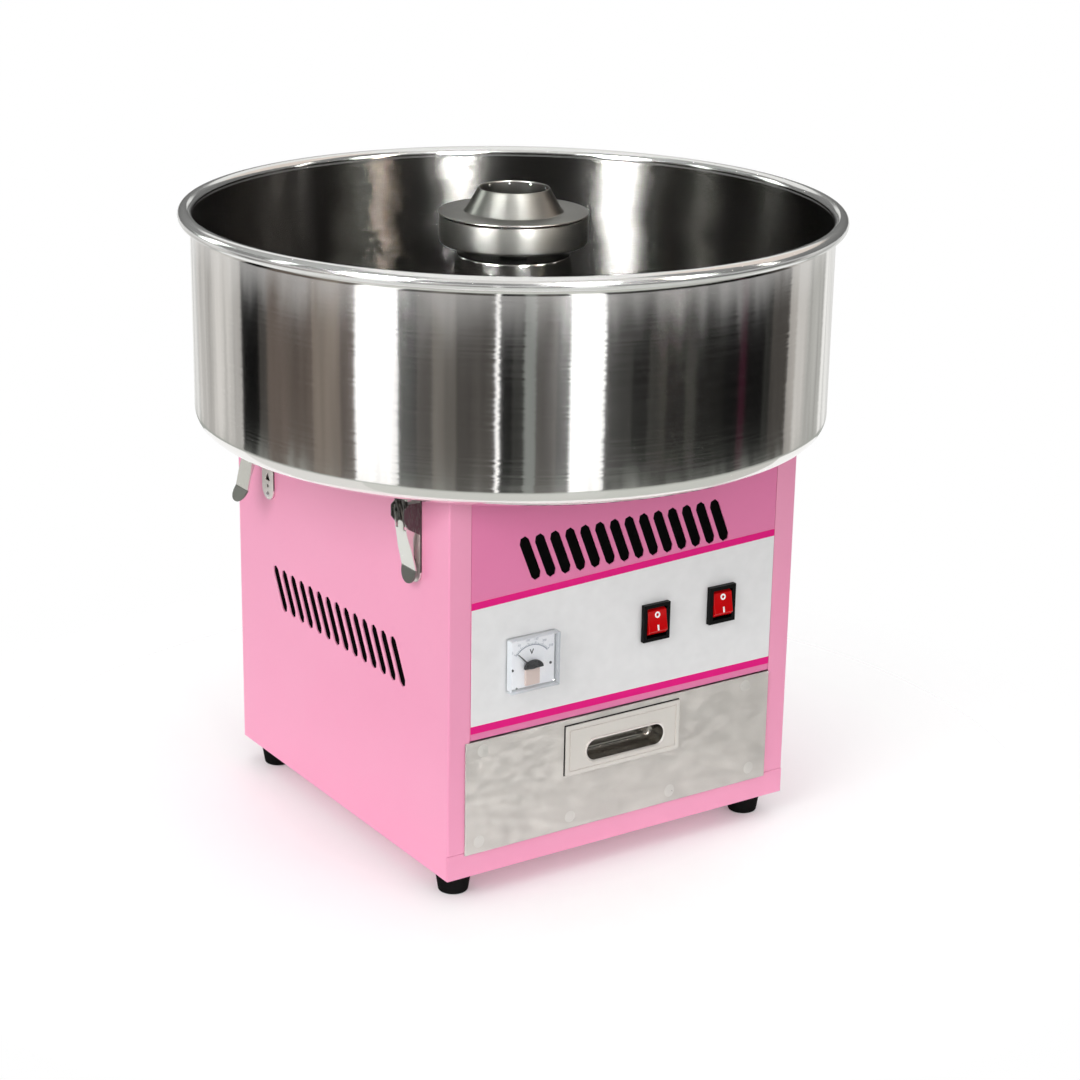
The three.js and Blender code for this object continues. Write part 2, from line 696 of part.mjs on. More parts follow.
// The needle upright over its pivot.
function meterNeedle() {
  const hub = bar("y", 0, 0, NEEDLE_HUB_R, NEEDLE_BACK - NEEDLE_HUB_T, NEEDLE_BACK);
  const w = NEEDLE_W / 2;
  const blade = [[-w, 0], [w, 0], [w / 2, NEEDLE_L], [-w / 2, NEEDLE_L]];
  return join(hub, prism(blade, "y", NEEDLE_BACK - NEEDLE_HUB_T, NEEDLE_BACK - NEEDLE_HUB_T + BLADE_T));
}

// Half-round cover in front of the hub, on a leg below the needle's sweep.
function meterShroud() {
  const back = NEEDLE_BACK - NEEDLE_HUB_T - FIT;
  const face = METER_FACE + METER_WALL + FIT;
  const drop = NEEDLE_HUB_R + 2;
  const outline = [...arc(0, 0, SHROUD_R, 0, 180, 10), [-SHROUD_R, -drop], [SHROUD_R, -drop]];
  const cover = prism(outline, "y", face, back);
  return join(cover, block(-SHROUD_R, SHROUD_R, face, DIAL_FACE - FIT, -drop, -drop + SHEET));
}

const meter = new THREE.Group();
meter.position.set(METER.x, 0, CAB_LO + METER.z);
machine.add(meter);
piece("meter_case", meterCase(), "blackPlastic", meter);
piece("meter_dial", meterDial(), "dialWhite", meter);
piece("meter_lens", meterLens(), "clear", meter);
const meterPivot = new THREE.Group();
meterPivot.position.z = -METER_PIVOT_DROP;
meter.add(meterPivot);
piece("meter_shroud", meterShroud(), "blackPlastic", meterPivot);
piece("meter_needle", meterNeedle(), "blackPlastic", meterPivot).rotation.y =
  -THREE.MathUtils.degToRad(NEEDLE_ZERO);

// Power inlet: a socket with three flat pins, set into the back panel

function powerInlet() {
  const z = CAB_LO + INLET.z;
  const face = FACE_Y + FIT + INLET.flangeT;
  const flange = prism(rectangle(INLET.x, z, INLET.w, INLET.h), "y", FACE_Y + FIT, face);
  const back = face - INLET.depth;
  const body = prism(rectangle(INLET.x, z, INLET.bodyW, INLET.bodyH), "y", back, face);
  const recessBack = face - INLET_RECESS_D;
  const recess = prism(
    rectangle(INLET.x, z, INLET_RECESS_W, INLET_RECESS_H), "y", recessBack, face + 1);
  const pins = [-1, 0, 1].map((place) => {
    const pinZ = z + (place === 0 ? -INLET_PIN.offset : INLET_PIN.offset);
    const outline = rectangle(INLET.x + place * INLET_PIN.spacing, pinZ, INLET_PIN.w, INLET_PIN.h);
    return prism(outline, "y", back + 1, recessBack + INLET_PIN.length);
  });
  return join(cut(join(flange, body), recess), ...pins);
}

piece("power_inlet", powerInlet(), "blackPlastic");

// Motor, hung from the deck on a bracket

function motorBracket() {
  const halfL = BRACKET_L / 2;
  const outline = [
    [-halfL, BRACKET_LO],
    [halfL, BRACKET_LO],
    [halfL, DECK_LO - BRACKET_T],
    [halfL + BRACKET_FOOT, DECK_LO - BRACKET_T],
    [halfL + BRACKET_FOOT, DECK_LO],
    [halfL - BRACKET_T, DECK_LO],
    [halfL - BRACKET_T, BRACKET_LO + BRACKET_T],
    [BRACKET_T - halfL, BRACKET_LO + BRACKET_T],
    [BRACKET_T - halfL, DECK_LO],
    [-halfL - BRACKET_FOOT, DECK_LO],
    [-halfL - BRACKET_FOOT, DECK_LO - BRACKET_T],
    [-halfL, DECK_LO - BRACKET_T],
  ];
  const hat = prism(outline, "y", -BRACKET_W / 2, BRACKET_W / 2);
  return cut(hat, disc(BRACKET_HOLE_R, BRACKET_LO - 1, BRACKET_LO + BRACKET_T + 1, MOTOR_SIDES));
}

// End bell, open towards the stator; rise is 1 for the upper bell and -1 for the lower one.
function endBell(base, rise) {
  const at = (height) => base + rise * height;
  const seat = BEARING_R + FIT;
  return turned([
    [MOTOR_R - MOTOR_WALL, at(0)],
    [MOTOR_R, at(0)],
    [MOTOR_R, at(BELL_H - BELL_WALL)],
    [MOTOR_R - BELL_WALL, at(BELL_H)],
    [BORE_R, at(BELL_H)],
    [BORE_R, at(SEAT_DEPTH)],
    [seat, at(SEAT_DEPTH)],
    [seat, at(SEAT_DEPTH - BEARING_H)],
    [seat + BEARING_WALL, at(SEAT_DEPTH - BEARING_H)],
    [seat + BEARING_WALL, at(BELL_H - BELL_WALL)],
    [MOTOR_R - MOTOR_WALL, at(BELL_H - BELL_WALL)],
  ], MOTOR_SIDES);
}

const BELL_LO = STATOR_LO - FIT;
const SEAT_DEPTH = BELL_H - BELL_WALL + 1; // from the stator to the end of a bearing's seat
const TOP_BEARING_LO = STATOR_HI + SEAT_DEPTH - BEARING_H + FIT;
const LOW_BEARING_LO = BELL_LO - SEAT_DEPTH + FIT;

function bearing(low) {
  return ring(BORE_R, BEARING_R, low, low + BEARING_H - FIT, MOTOR_SIDES);
}

// Rotor core pressed on the drive shaft, which carries the slip rings and the head.
function rotorShaft() {
  const coreR = MOTOR_R - MOTOR_WALL - AIR_GAP;
  const coreIn = 5;
  const top = HEAD_LO + HEAD_WALL + FIT + NUT_H + 1;
  const shaftLow = LOW_BEARING_LO - FIT;
  return turned([
    [0, shaftLow],
    [SHAFT_R, shaftLow],
    [SHAFT_R, STATOR_LO + coreIn],
    [coreR, STATOR_LO + coreIn],
    [coreR, STATOR_HI - coreIn],
    [SHAFT_R, STATOR_HI - coreIn],
    [SHAFT_R, top],
    [0, top],
  ], MOTOR_SIDES);
}

piece("motor_bracket", motorBracket(), "zincSteel");
piece("motor_stator", ring(MOTOR_R - MOTOR_WALL, MOTOR_R, STATOR_LO, STATOR_HI, MOTOR_SIDES), "darkSteel");
piece("motor_bell_top", endBell(STATOR_HI + FIT, 1), "castAluminium");
piece("motor_bell_bottom", endBell(BELL_LO, -1), "castAluminium");
piece("motor_bearing_top", bearing(TOP_BEARING_LO), "polishedSteel");
piece("motor_bearing_bottom", bearing(LOW_BEARING_LO), "polishedSteel");
piece("rotor_shaft", rotorShaft(), "darkSteel");

// Slip rings on the shaft and brushes on a holder beside it

const RING_LO = CAB_HI + RING_LOW;
const RING_INNER_R = RING_HUB_R + FIT;
const RING_OUTER_R = RING_HUB_R + RING_T;

function slipRingHub() {
  const low = RING_LO - FIT - RING_SHOULDER_H;
  const lowTop = RING_LO - FIT;
  const midLow = RING_LO + RING_H + FIT;
  const midTop = RING_LO + RING_PITCH - FIT;
  const highLow = RING_LO + RING_PITCH + RING_H + FIT;
  const high = highLow + RING_SHOULDER_H;
  return turned([
    [BORE_R, low],
    [RING_SHOULDER_R, low],
    [RING_SHOULDER_R, lowTop],
    [RING_HUB_R, lowTop],
    [RING_HUB_R, midLow],
    [RING_SHOULDER_R, midLow],
    [RING_SHOULDER_R, midTop],
    [RING_HUB_R, midTop],
    [RING_HUB_R, highLow],
    [RING_SHOULDER_R, highLow],
    [RING_SHOULDER_R, high],
    [BORE_R, high],
  ], MOTOR_SIDES);
}

function brushZ(index) {
  return RING_LO + index * RING_PITCH + RING_H / 2;
}

function brushHolder() {
  const postTop = CAB_HI + HOLDER_TOP;
  const post = block(HOLDER_X, HOLDER_X + HOLDER_T, -HOLDER_W / 2, HOLDER_W / 2, CAB_HI, postTop);
  const footTo = HOLDER_X + HOLDER_FOOT;
  const footing = block(HOLDER_X, footTo, -HOLDER_W / 2, HOLDER_W / 2, CAB_HI, CAB_HI + 4);
  const ways = [0, 1].map((index) => {
    const outline = rectangle(0, brushZ(index), BRUSH_W + 2 * FIT, BRUSH_H + 2 * FIT);
    return prism(outline, "x", HOLDER_X - 1, HOLDER_X + HOLDER_T + 1);
  });
  return cut(join(post, footing), ...ways);
}

function brush(index) {
  const tip = RING_OUTER_R + FIT;
  return prism(rectangle(0, brushZ(index), BRUSH_W, BRUSH_H), "x", tip, tip + BRUSH_L);
}

piece("slip_ring_hub", slipRingHub(), "brown");
for (const [index, name] of ["lower", "upper"].entries()) {
  const low = RING_LO + index * RING_PITCH;
  piece(`slip_ring_${name}`, ring(RING_INNER_R, RING_OUTER_R, low, low + RING_H, MOTOR_SIDES), "brass");
  piece(`brush_${name}`, brush(index), "carbon");
}
piece("brush_holder", brushHolder(), "brown");

// Column cover over the slip rings

function columnCover() {
  return turned([
    [COLUMN_R - COLUMN_SHEET, CAB_HI],
    [COLUMN_R + COLUMN_FLANGE, CAB_HI],
    [COLUMN_R + COLUMN_FLANGE, CAB_HI + COLUMN_SHEET],
    [COLUMN_R, CAB_HI + COLUMN_SHEET],
    [COLUMN_R, COLUMN_HI - 2],
    [COLUMN_R - 2, COLUMN_HI],
    [COLUMN_HOLE_R, COLUMN_HI],
    [COLUMN_HOLE_R, COLUMN_HI - COLUMN_SHEET],
    [COLUMN_R - COLUMN_SHEET, COLUMN_HI - COLUMN_SHEET],
  ]);
}

piece("column_cover", columnCover(), "polishedSteel");

// Spinner head: hub, lower cup with the heater in it, and a top plate with the sugar funnel

const CUP_FLOOR = HEAD_LO + HEAD_WALL;
const TOP_LO = HEAD_LO + HEAD_H + HEAD_SLOT;
const TOP_HI = TOP_LO + TOP_T;
const FUNNEL_HI = TOP_HI + CONE_H;

function headBase() {
  return turned([
    [BORE_R, HEAD_LO],
    [HEAD_R - 2, HEAD_LO],
    [HEAD_R, HEAD_LO + 2],
    [HEAD_R, HEAD_LO + HEAD_H],
    [HEAD_R - HEAD_WALL, HEAD_LO + HEAD_H],
    [HEAD_R - HEAD_WALL, CUP_FLOOR],
    [BORE_R, CUP_FLOOR],
  ], HEAD_SIDES);
}

function headTop() {
  const plate = turned([
    [CONE_TOP_R - CONE_WALL, FUNNEL_HI - 1],
    [CONE_TOP_R - CONE_WALL / 2, FUNNEL_HI],
    [CONE_TOP_R, FUNNEL_HI - 1],
    [CONE_BASE_R, TOP_HI],
    [TOP_R - TOP_T / 2, TOP_HI],
    [TOP_R, TOP_LO + TOP_T / 2],
    [TOP_R - TOP_T / 2, TOP_LO],
    [CONE_BASE_R - CONE_WALL, TOP_LO],
  ], HEAD_SIDES);
  const posts = [];
  for (let i = 0; i < POST_COUNT; i += 1) {
    const angle = (2 * Math.PI * (i + 0.5)) / POST_COUNT;
    const outline = circle(POST_CIRCLE * Math.cos(angle), POST_CIRCLE * Math.sin(angle), POST_R, POST_SIDES);
    posts.push(prism(outline, "z", CUP_FLOOR + FIT, TOP_LO + TOP_T / 2));
  }
  return join(plate, ...posts);
}

function headNut() {
  const low = CUP_FLOOR + FIT;
  return prism(circle(0, 0, NUT_R, 6), "z", low, low + NUT_H, [circle(0, 0, BORE_R, MOTOR_SIDES)]);
}

piece("head_hub", ring(BORE_R, HUB_R, COLUMN_HI + HUB_CLEAR, HEAD_LO - FIT, MOTOR_SIDES), "castAluminium");
piece("head_base", headBase(), "polishedSteel");
piece("heater_ring", ring(HEATER_R - HEATER_T, HEATER_R, CUP_FLOOR + FIT, CUP_FLOOR + FIT + HEATER_H),
  "heater");
piece("head_nut", headNut(), "brass");
piece("head_top", headTop(), "polishedSteel");

// Bowl with a rolled rim and four catches welded under it

function bowl() {
  const cornerR = BOWL_R - BOWL_CORNER_R;
  const cornerZ = BOWL_LO + BOWL_CORNER_R;
  const rimR = BOWL_R + RIM_OUT;
  const rimZ = BOWL_LO + BOWL_H - RIM_R;
  const innerR = BOWL_R - BOWL_SHEET;
  const start = -THREE.MathUtils.radToDeg(Math.acos(-RIM_OUT / RIM_R));
  const end = THREE.MathUtils.radToDeg(Math.acos(-(RIM_OUT + BOWL_SHEET) / RIM_R));
  const shell = turned([
    [BOWL_HOLE_R, BOWL_LO],
    ...arc(cornerR, cornerZ, BOWL_CORNER_R, -90, 0, 4),
    ...arc(rimR, rimZ, RIM_R, start, end, 7),
    ...arc(cornerR, cornerZ, innerR - cornerR, 0, -90, 3),
    [BOWL_HOLE_R + BOWL_SHEET, BOWL_LO + BOWL_SHEET],
    [BOWL_HOLE_R + BOWL_SHEET, BOWL_LO + BOWL_LIP_H],
    [BOWL_HOLE_R, BOWL_LO + BOWL_LIP_H],
  ], BOWL_SIDES);
  const catches = [];
  for (const side of [-1, 1]) {
    for (const y of Object.values(LATCH_Y)) {
      catches.push(latchCatch(side, y));
    }
  }
  return join(shell, ...catches);
}

// L-shaped catch under the bowl, its lip pointing outwards.
function latchCatch(side, y) {
  const inner = FACE_X + CATCH_OUT;
  const low = BOWL_LO - CATCH_DROP;
  const weld = BOWL_LO + BOWL_SHEET / 2;
  const plate = block(
    side * inner, side * (inner + CATCH_T), y - CATCH_W / 2, y + CATCH_W / 2, low, weld);
  const lip = block(
    side * inner, side * (inner + CATCH_REACH), y - CATCH_W / 2, y + CATCH_W / 2, low, low + CATCH_T);
  return join(plate, lip);
}

piece("bowl", bowl(), "polishedSteel");

// Toggle latches. Each is drawn with x pointing out from the side panel's face.

const CHEEK_OUTER = LATCH_W / 2 - EAR_T - FIT;
const PIVOT_Z = CAB_HI - PIVOT_DROP;

function latchBase() {
  const low = CAB_HI - LATCH_PLATE_LOW;
  const top = CAB_HI - LATCH_PLATE_TOP;
  const half = LATCH_W / 2;
  const roundLow = arc(0, low + half, half, 180, 360, 8);
  const { halfW } = LATCH_WINDOW;
  const sill = low + LATCH_WINDOW.low;
  const window = [[-halfW, sill], [halfW, sill], [0, low + LATCH_WINDOW.high]];
  const eye = circle(0, low + LATCH_EYE.up, LATCH_EYE.r, 8);
  const plate = prism(
    [...roundLow, [half, top], [-half, top]], "x", FIT, FIT + LATCH_PLATE_T, [window.toReversed(), eye]);
  const earLow = CAB_HI - EAR_LOW;
  const earTop = CAB_HI - EAR_TOP;
  const earRoot = [[FIT, earLow - EAR_ROOT_DROP], [FIT, earTop]];
  const outline = [
    ...earRoot,
    [EAR_OUT - EAR_NIP, earTop],
    [EAR_OUT, earTop - EAR_NIP],
    [EAR_OUT, earLow + EAR_TAPER.up],
    [EAR_OUT - EAR_TAPER.out, earLow],
  ];
  const pieces = [plate];
  for (const side of [-1, 1]) {
    const inner = Math.min(side * half, side * (half - EAR_T));
    pieces.push(prism(outline.toReversed(), "y", inner, inner + EAR_T));
    const tip = side * (CHEEK_OUTER - LEVER_CHEEK_T + 0.05);
    const stub = [side * half, tip].sort((a, b) => a - b);
    pieces.push(bar("y", PIVOT_OUT, PIVOT_Z, PIVOT_R, stub[0], stub[1]));
  }
  return join(...pieces);
}

// The lever closed, about its pivot: x out, z up.
function latchLever() {
  const front = [LEVER_TIP, LEVER_BEND, LEVER_WEB_TOP];
  const rear = front.map(([x, z]) => [x - LEVER_T, z]).toReversed();
  const web = prism([...front, ...rear], "y", -LEVER_WIDE, LEVER_WIDE);
  const reach = -LEVER_TIP[1];
  const narrow = CHEEK_OUTER;
  const [flareHi, flareLo] = LEVER_FLARE;
  const outline = [
    ...arc(0, LEVER_WIDE - reach, LEVER_WIDE, 180, 360, 10),
    [LEVER_WIDE, flareLo],
    [narrow, flareHi],
    [narrow, 1],
    [-narrow, 1],
    [-narrow, flareHi],
    [-LEVER_WIDE, flareLo],
  ];
  const face = common(web, prism(outline, "x", -reach, reach));
  const cheek = [
    ...LEVER_CHEEK_BACK,
    [LEVER_BEND[0], LEVER_BEND[1] + 5],
    [LEVER_BEND[0] + LEVER_T / 2, LEVER_BEND[1] + 5],
    [LEVER_WEB_TOP[0] - LEVER_T / 6, LEVER_WEB_TOP[1]],
    [LEVER_WEB_TOP[0] + LEVER_T / 2, -4],
    [2.4, 4],
  ];
  const cheeks = [-1, 1].map((side) => {
    const inner = Math.min(side * narrow, side * (narrow - LEVER_CHEEK_T));
    return prism(cheek, "y", inner, inner + LEVER_CHEEK_T);
  });
  const pivotHole = bar("y", 0, 0, PIVOT_R + FIT, -narrow - 1, narrow + 1);
  const pinHole = bar("y", -BAIL_PIN_BACK, -BAIL_PIN_DROP, BAIL_R + FIT, -narrow - 1, narrow + 1);
  return cut(join(face, ...cheeks), pivotHole, pinHole);
}

// Wire bail about its pin: out to the cheeks, up both legs and across the top.
function latchBail() {
  const end = CHEEK_OUTER - 0.2;
  const w = BAIL_HALF_W;
  const k = BAIL_CORNER;
  const at = (y, share) => new THREE.Vector3(BAIL_OUT * share, y, BAIL_RISE * share);
  const foot0 = at(-w, 0);
  const low = k / 2 / BAIL_RISE;
  const high = 1 - k / BAIL_RISE;
  const path = new THREE.CurvePath();
  path.add(new THREE.LineCurve3(at(-end, 0), at(-w - k / 2, 0)));
  path.add(new THREE.QuadraticBezierCurve3(at(-w - k / 2, 0), foot0, at(-w, low)));
  path.add(new THREE.LineCurve3(at(-w, low), at(-w, high)));
  path.add(new THREE.QuadraticBezierCurve3(at(-w, high), at(-w, 1), at(-w + k, 1)));
  path.add(new THREE.LineCurve3(at(-w + k, 1), at(w - k, 1)));
  path.add(new THREE.QuadraticBezierCurve3(at(w - k, 1), at(w, 1), at(w, high)));
  path.add(new THREE.LineCurve3(at(w, high), at(w, low)));
  path.add(new THREE.QuadraticBezierCurve3(at(w, low), at(w, 0), at(w + k / 2, 0)));
  path.add(new THREE.LineCurve3(at(w + k / 2, 0), at(end, 0)));
  const section = new THREE.Shape(circle(0, 0, BAIL_R, WIRE_SIDES).map(([u, v]) => new THREE.Vector2(u, v)));
  return new THREE.ExtrudeGeometry(section, { steps: WIRE_STEPS, extrudePath: path, bevelEnabled: false });
}

for (const [side, sideName] of [[-1, "left"], [1, "right"]]) {
  for (const end of ["front", "back"]) {
    const name = `${end}_${sideName}`;
    const open = LEVER_OPEN[name];
    const latch = new THREE.Group();
    latch.position.set(side * FACE_X, LATCH_Y[end], 0);
    latch.rotation.z = side < 0 ? Math.PI : 0;
    machine.add(latch);
    piece(`latch_base_${name}`, latchBase(), "zincSteel", latch);
    const lever = new THREE.Group();
    lever.position.set(PIVOT_OUT, 0, PIVOT_Z);
    lever.rotation.y = -THREE.MathUtils.degToRad(open);
    latch.add(lever);
    piece(`latch_lever_${name}`, latchLever(), "polishedSteel", lever);
    const bail = new THREE.Group();
    bail.position.set(-BAIL_PIN_BACK, 0, -BAIL_PIN_DROP);
    bail.rotation.y = THREE.MathUtils.degToRad(open * BAIL_PER_LEVER);
    lever.add(bail);
    piece(`latch_bail_${name}`, latchBail(), "zincSteel", bail);
  }
}

export default machine;
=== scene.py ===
import json
import math

import bmesh
import bpy
from mathutils import Matrix, Vector


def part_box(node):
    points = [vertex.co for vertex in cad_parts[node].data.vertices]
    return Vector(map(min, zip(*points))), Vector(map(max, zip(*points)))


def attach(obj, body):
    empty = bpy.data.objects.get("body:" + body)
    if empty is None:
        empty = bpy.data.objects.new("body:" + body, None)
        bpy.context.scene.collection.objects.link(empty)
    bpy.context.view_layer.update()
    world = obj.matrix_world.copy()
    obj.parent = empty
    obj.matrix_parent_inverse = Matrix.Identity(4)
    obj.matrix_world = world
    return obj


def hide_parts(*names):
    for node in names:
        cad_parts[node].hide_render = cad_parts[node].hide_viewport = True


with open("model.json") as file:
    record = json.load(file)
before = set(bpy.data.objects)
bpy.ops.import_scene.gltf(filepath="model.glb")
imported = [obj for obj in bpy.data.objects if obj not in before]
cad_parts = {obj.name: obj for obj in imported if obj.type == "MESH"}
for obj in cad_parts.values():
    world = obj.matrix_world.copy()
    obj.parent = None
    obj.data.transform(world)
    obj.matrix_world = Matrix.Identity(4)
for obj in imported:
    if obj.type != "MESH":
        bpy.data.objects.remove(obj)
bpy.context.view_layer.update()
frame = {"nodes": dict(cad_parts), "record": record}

MM = 0.001
SAME = 0.001  # in mm: corners of a drawn section that are closer than this are one
NEAR = 0.01  # in mm: edges that lie closer than this to a place are on it
BODY_OF = {n: body for body, nodes in frame["record"]["behaviour"]["bodies"].items() for n in nodes}
SLOT_OF = {part["node"]: part["material_slot"] for part in frame["record"]["subparts"]}


# ---------------------------------------------------------------- camera

CAMERA_AZIMUTH = -33.84
CAMERA_RISE = 18.775
CAMERA_ROLL = 1.007
CAMERA_PLACE = Vector((-1.0689, -1.6390, 0.8820))
LENS = 84.70
SENSOR_WIDTH = 36


def make_camera():
    """The photograph's camera: its place, direction and lens."""
    azimuth, rise, roll = (math.radians(a) for a in (CAMERA_AZIMUTH, CAMERA_RISE, CAMERA_ROLL))
    back = Vector((math.sin(azimuth) * math.cos(rise), -math.cos(azimuth) * math.cos(rise), math.sin(rise)))
    level = (-back).cross(Vector((0, 0, 1))).normalized()
    upright = level.cross(-back)
    right = level * math.cos(roll) + upright * math.sin(roll)
    up = upright * math.cos(roll) - level * math.sin(roll)
    bpy.ops.object.camera_add()
    camera = bpy.context.object
    camera.name = "photo_camera"
    turn = Matrix((right, up, back)).transposed().to_4x4()
    camera.matrix_world = Matrix.Translation(CAMERA_PLACE) @ turn
    camera.data.lens = LENS
    camera.data.sensor_width = SENSOR_WIDTH
    bpy.context.scene.camera = camera


# ---------------------------------------------------------------- hand tools

def clear():
    """Leaves edit mode and selects nothing."""
    if bpy.context.object and bpy.context.object.mode != "OBJECT":
        bpy.ops.object.mode_set(mode="OBJECT")
    bpy.ops.object.select_all(action="DESELECT")


def take(piece):
    """Selects one piece and makes it the active one."""
    clear()
    piece.select_set(True)
    bpy.context.view_layer.objects.active = piece


def edit(piece, kind="VERT"):
    """Opens a piece in edit mode with nothing selected."""
    take(piece)
    bpy.ops.object.mode_set(mode="EDIT")
    bpy.ops.mesh.select_mode(type=kind)
    pick_none()


def close():
    """Back to object mode."""
    bpy.ops.object.mode_set(mode="OBJECT")


def pick_all():
    """Selects the whole of the open mesh."""
    bpy.ops.mesh.select_all(action="SELECT")


def pick_none():
    """Selects nothing of the open mesh."""
    bpy.ops.mesh.select_all(action="DESELECT")


def pick_faces(test):
    """Adds the faces whose middle in mm and normal pass the test to the selection."""
    mesh = bmesh.from_edit_mesh(bpy.context.object.data)
    for face in mesh.faces:
        if test(face.calc_center_median() / MM, face.normal):
            face.select_set(True)
    bmesh.update_edit_mesh(bpy.context.object.data)


def pick_edges(test):
    """Adds the edges whose two ends in mm pass the test to the selection."""
    mesh = bmesh.from_edit_mesh(bpy.context.object.data)
    for line in mesh.edges:
        if test(line.verts[0].co / MM, line.verts[1].co / MM):
            line.select_set(True)
    bmesh.update_edit_mesh(bpy.context.object.data)


def pick_corners(test):
    """Adds the corners whose place in mm passes the test to the selection."""
    mesh = bmesh.from_edit_mesh(bpy.context.object.data)
    for corner in mesh.verts:
        if test(corner.co / MM):
            corner.select_set(True)
    mesh.select_flush(True)
    bmesh.update_edit_mesh(bpy.context.object.data)


def extrude(step):
    """Draws the selection out by a step in metres."""
    bpy.ops.mesh.extrude_region_move(TRANSFORM_OT_translate={"value": step})


def split_at(height):
    """Cuts the open mesh's faces in two at a height in mm."""
    pick_all()
    bpy.ops.mesh.bisect(plane_co=(0, 0, height * MM), plane_no=(0, 0, 1))


def bevel(offset, segments):
    """Rounds the selected edges by an offset in mm."""
    bpy.ops.mesh.bevel(offset=offset * MM, segments=segments, affect="EDGES")


def fixed():
    """Moves the object's place, turn and scale into its mesh."""
    bpy.ops.object.transform_apply(location=True, rotation=True, scale=True)


def modify(piece, kind, **settings):
    """Adds a modifier and applies it."""
    take(piece)
    modifier = piece.modifiers.new(kind.lower(), kind)
    for key, value in settings.items():
        setattr(modifier, key, value)
    bpy.ops.object.modifier_apply(modifier=modifier.name)


def cut_away(piece, cutter):
    """Cuts one piece's shape out of another, and removes the cutter."""
    modify(piece, "BOOLEAN", operation="DIFFERENCE", object=cutter, solver="EXACT")
    bpy.data.objects.remove(cutter)


def round_edges(piece, width, segments=2, angle=35):
    """Rounds every edge sharper than the angle and shades the rest by it."""
    modify(piece, "BEVEL", width=width * MM, segments=segments, angle_limit=math.radians(angle),
           limit_method="ANGLE", use_clamp_overlap=True, harden_normals=False)
    smooth(piece, angle)
    modify(piece, "WEIGHTED_NORMAL", mode="FACE_AREA", weight=100, keep_sharp=True)


def smooth(piece, angle=35):
    """Smooth shading, with edges sharper than the angle kept."""
    take(piece)
    bpy.ops.object.shade_smooth_by_angle(angle=math.radians(angle))


def block(name, low, high):
    """A box between two corners in mm."""
    clear()
    low, high = Vector(map(min, low, high)), Vector(map(max, low, high))
    bpy.ops.mesh.primitive_cube_add(size=1, location=(low + high) / 2 * MM, scale=(high - low) * MM)
    fixed()
    bpy.context.object.name = name
    return bpy.context.object


def rod(name, centre, radius, depth, sides=48, axis="Z"):
    """A cylinder in mm with its length along an axis."""
    clear()
    turn = {"X": (0, math.pi / 2, 0), "Y": (math.pi / 2, 0, 0), "Z": (0, 0, 0)}[axis]
    bpy.ops.mesh.primitive_cylinder_add(vertices=sides, radius=radius * MM, depth=depth * MM,
                                        location=Vector(centre) * MM, rotation=turn)
    fixed()
    bpy.context.object.name = name
    return bpy.context.object


def drawn_line(name, points):
    """A row of points in mm, drawn by extruding one corner."""
    clear()
    bpy.ops.mesh.primitive_plane_add(size=MM, location=(0, 0, 0))
    piece = bpy.context.object
    piece.name = name
    edit(piece)
    pick_all()
    bpy.ops.mesh.merge(type="CENTER")
    last = Vector(points[0])
    bpy.ops.transform.translate(value=last * MM)
    for point in points[1:]:
        step = (Vector(point) - last) * MM
        extrude(step)
        last = Vector(point)
    return piece


def turned(name, profile, sides=96, centre=(0, 0), angle=35):
    """A piece turned about Z: its section (radius, height) in mm is drawn, closed and spun."""
    piece = drawn_line(name, [(r, 0, z) for r, z in profile])
    ends = (profile[0], profile[-1])
    pick_none()
    pick_corners(lambda spot: any(abs(spot.x - r) < SAME and abs(spot.z - z) < SAME for r, z in ends))
    bpy.ops.mesh.edge_face_add()
    pick_all()
    bpy.ops.mesh.spin(steps=sides, dupli=False, angle=2 * math.pi, center=(0, 0, 0), axis=(0, 0, 1))
    pick_all()
    bpy.ops.mesh.remove_doubles(threshold=0.00001)
    bpy.ops.mesh.normals_make_consistent(inside=False)
    bpy.ops.transform.translate(value=(centre[0] * MM, centre[1] * MM, 0))
    close()
    smooth(piece, angle)
    return piece


def arc(centre, radius, start, end, steps):
    """Points (r, z) on an arc, from the start to the end angle in degrees."""
    turns = [math.radians(start + (end - start) * i / steps) for i in range(steps + 1)]
    return [(centre[0] + radius * math.cos(t), centre[1] + radius * math.sin(t)) for t in turns]


def copy_of(node):
    """A merged copy of a CAD node with its flat faces joined, which stands for the node."""
    clear()
    piece = bpy.data.objects.new(node + "_finished", frame["nodes"][node].data.copy())
    bpy.context.collection.objects.link(piece)
    edit(piece)
    bpy.ops.mesh.customdata_custom_splitnormals_clear()
    pick_all()
    bpy.ops.mesh.remove_doubles(threshold=0.00001)
    bpy.ops.mesh.dissolve_limited(angle_limit=math.radians(1))
    close()
    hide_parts(node)
    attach(piece, BODY_OF[node])
    return piece


def lay(piece, spot, out):
    """Turns a piece that was made flat on the floor to face a direction, and puts it at a spot in mm."""
    out = Vector(out).normalized()
    side = Vector((0, 0, 1)).cross(out).normalized()
    take(piece)
    turn = Matrix((side, out.cross(side), out)).transposed().to_4x4()
    piece.matrix_world = Matrix.Translation(Vector(spot) * MM) @ turn
    fixed()
    return piece


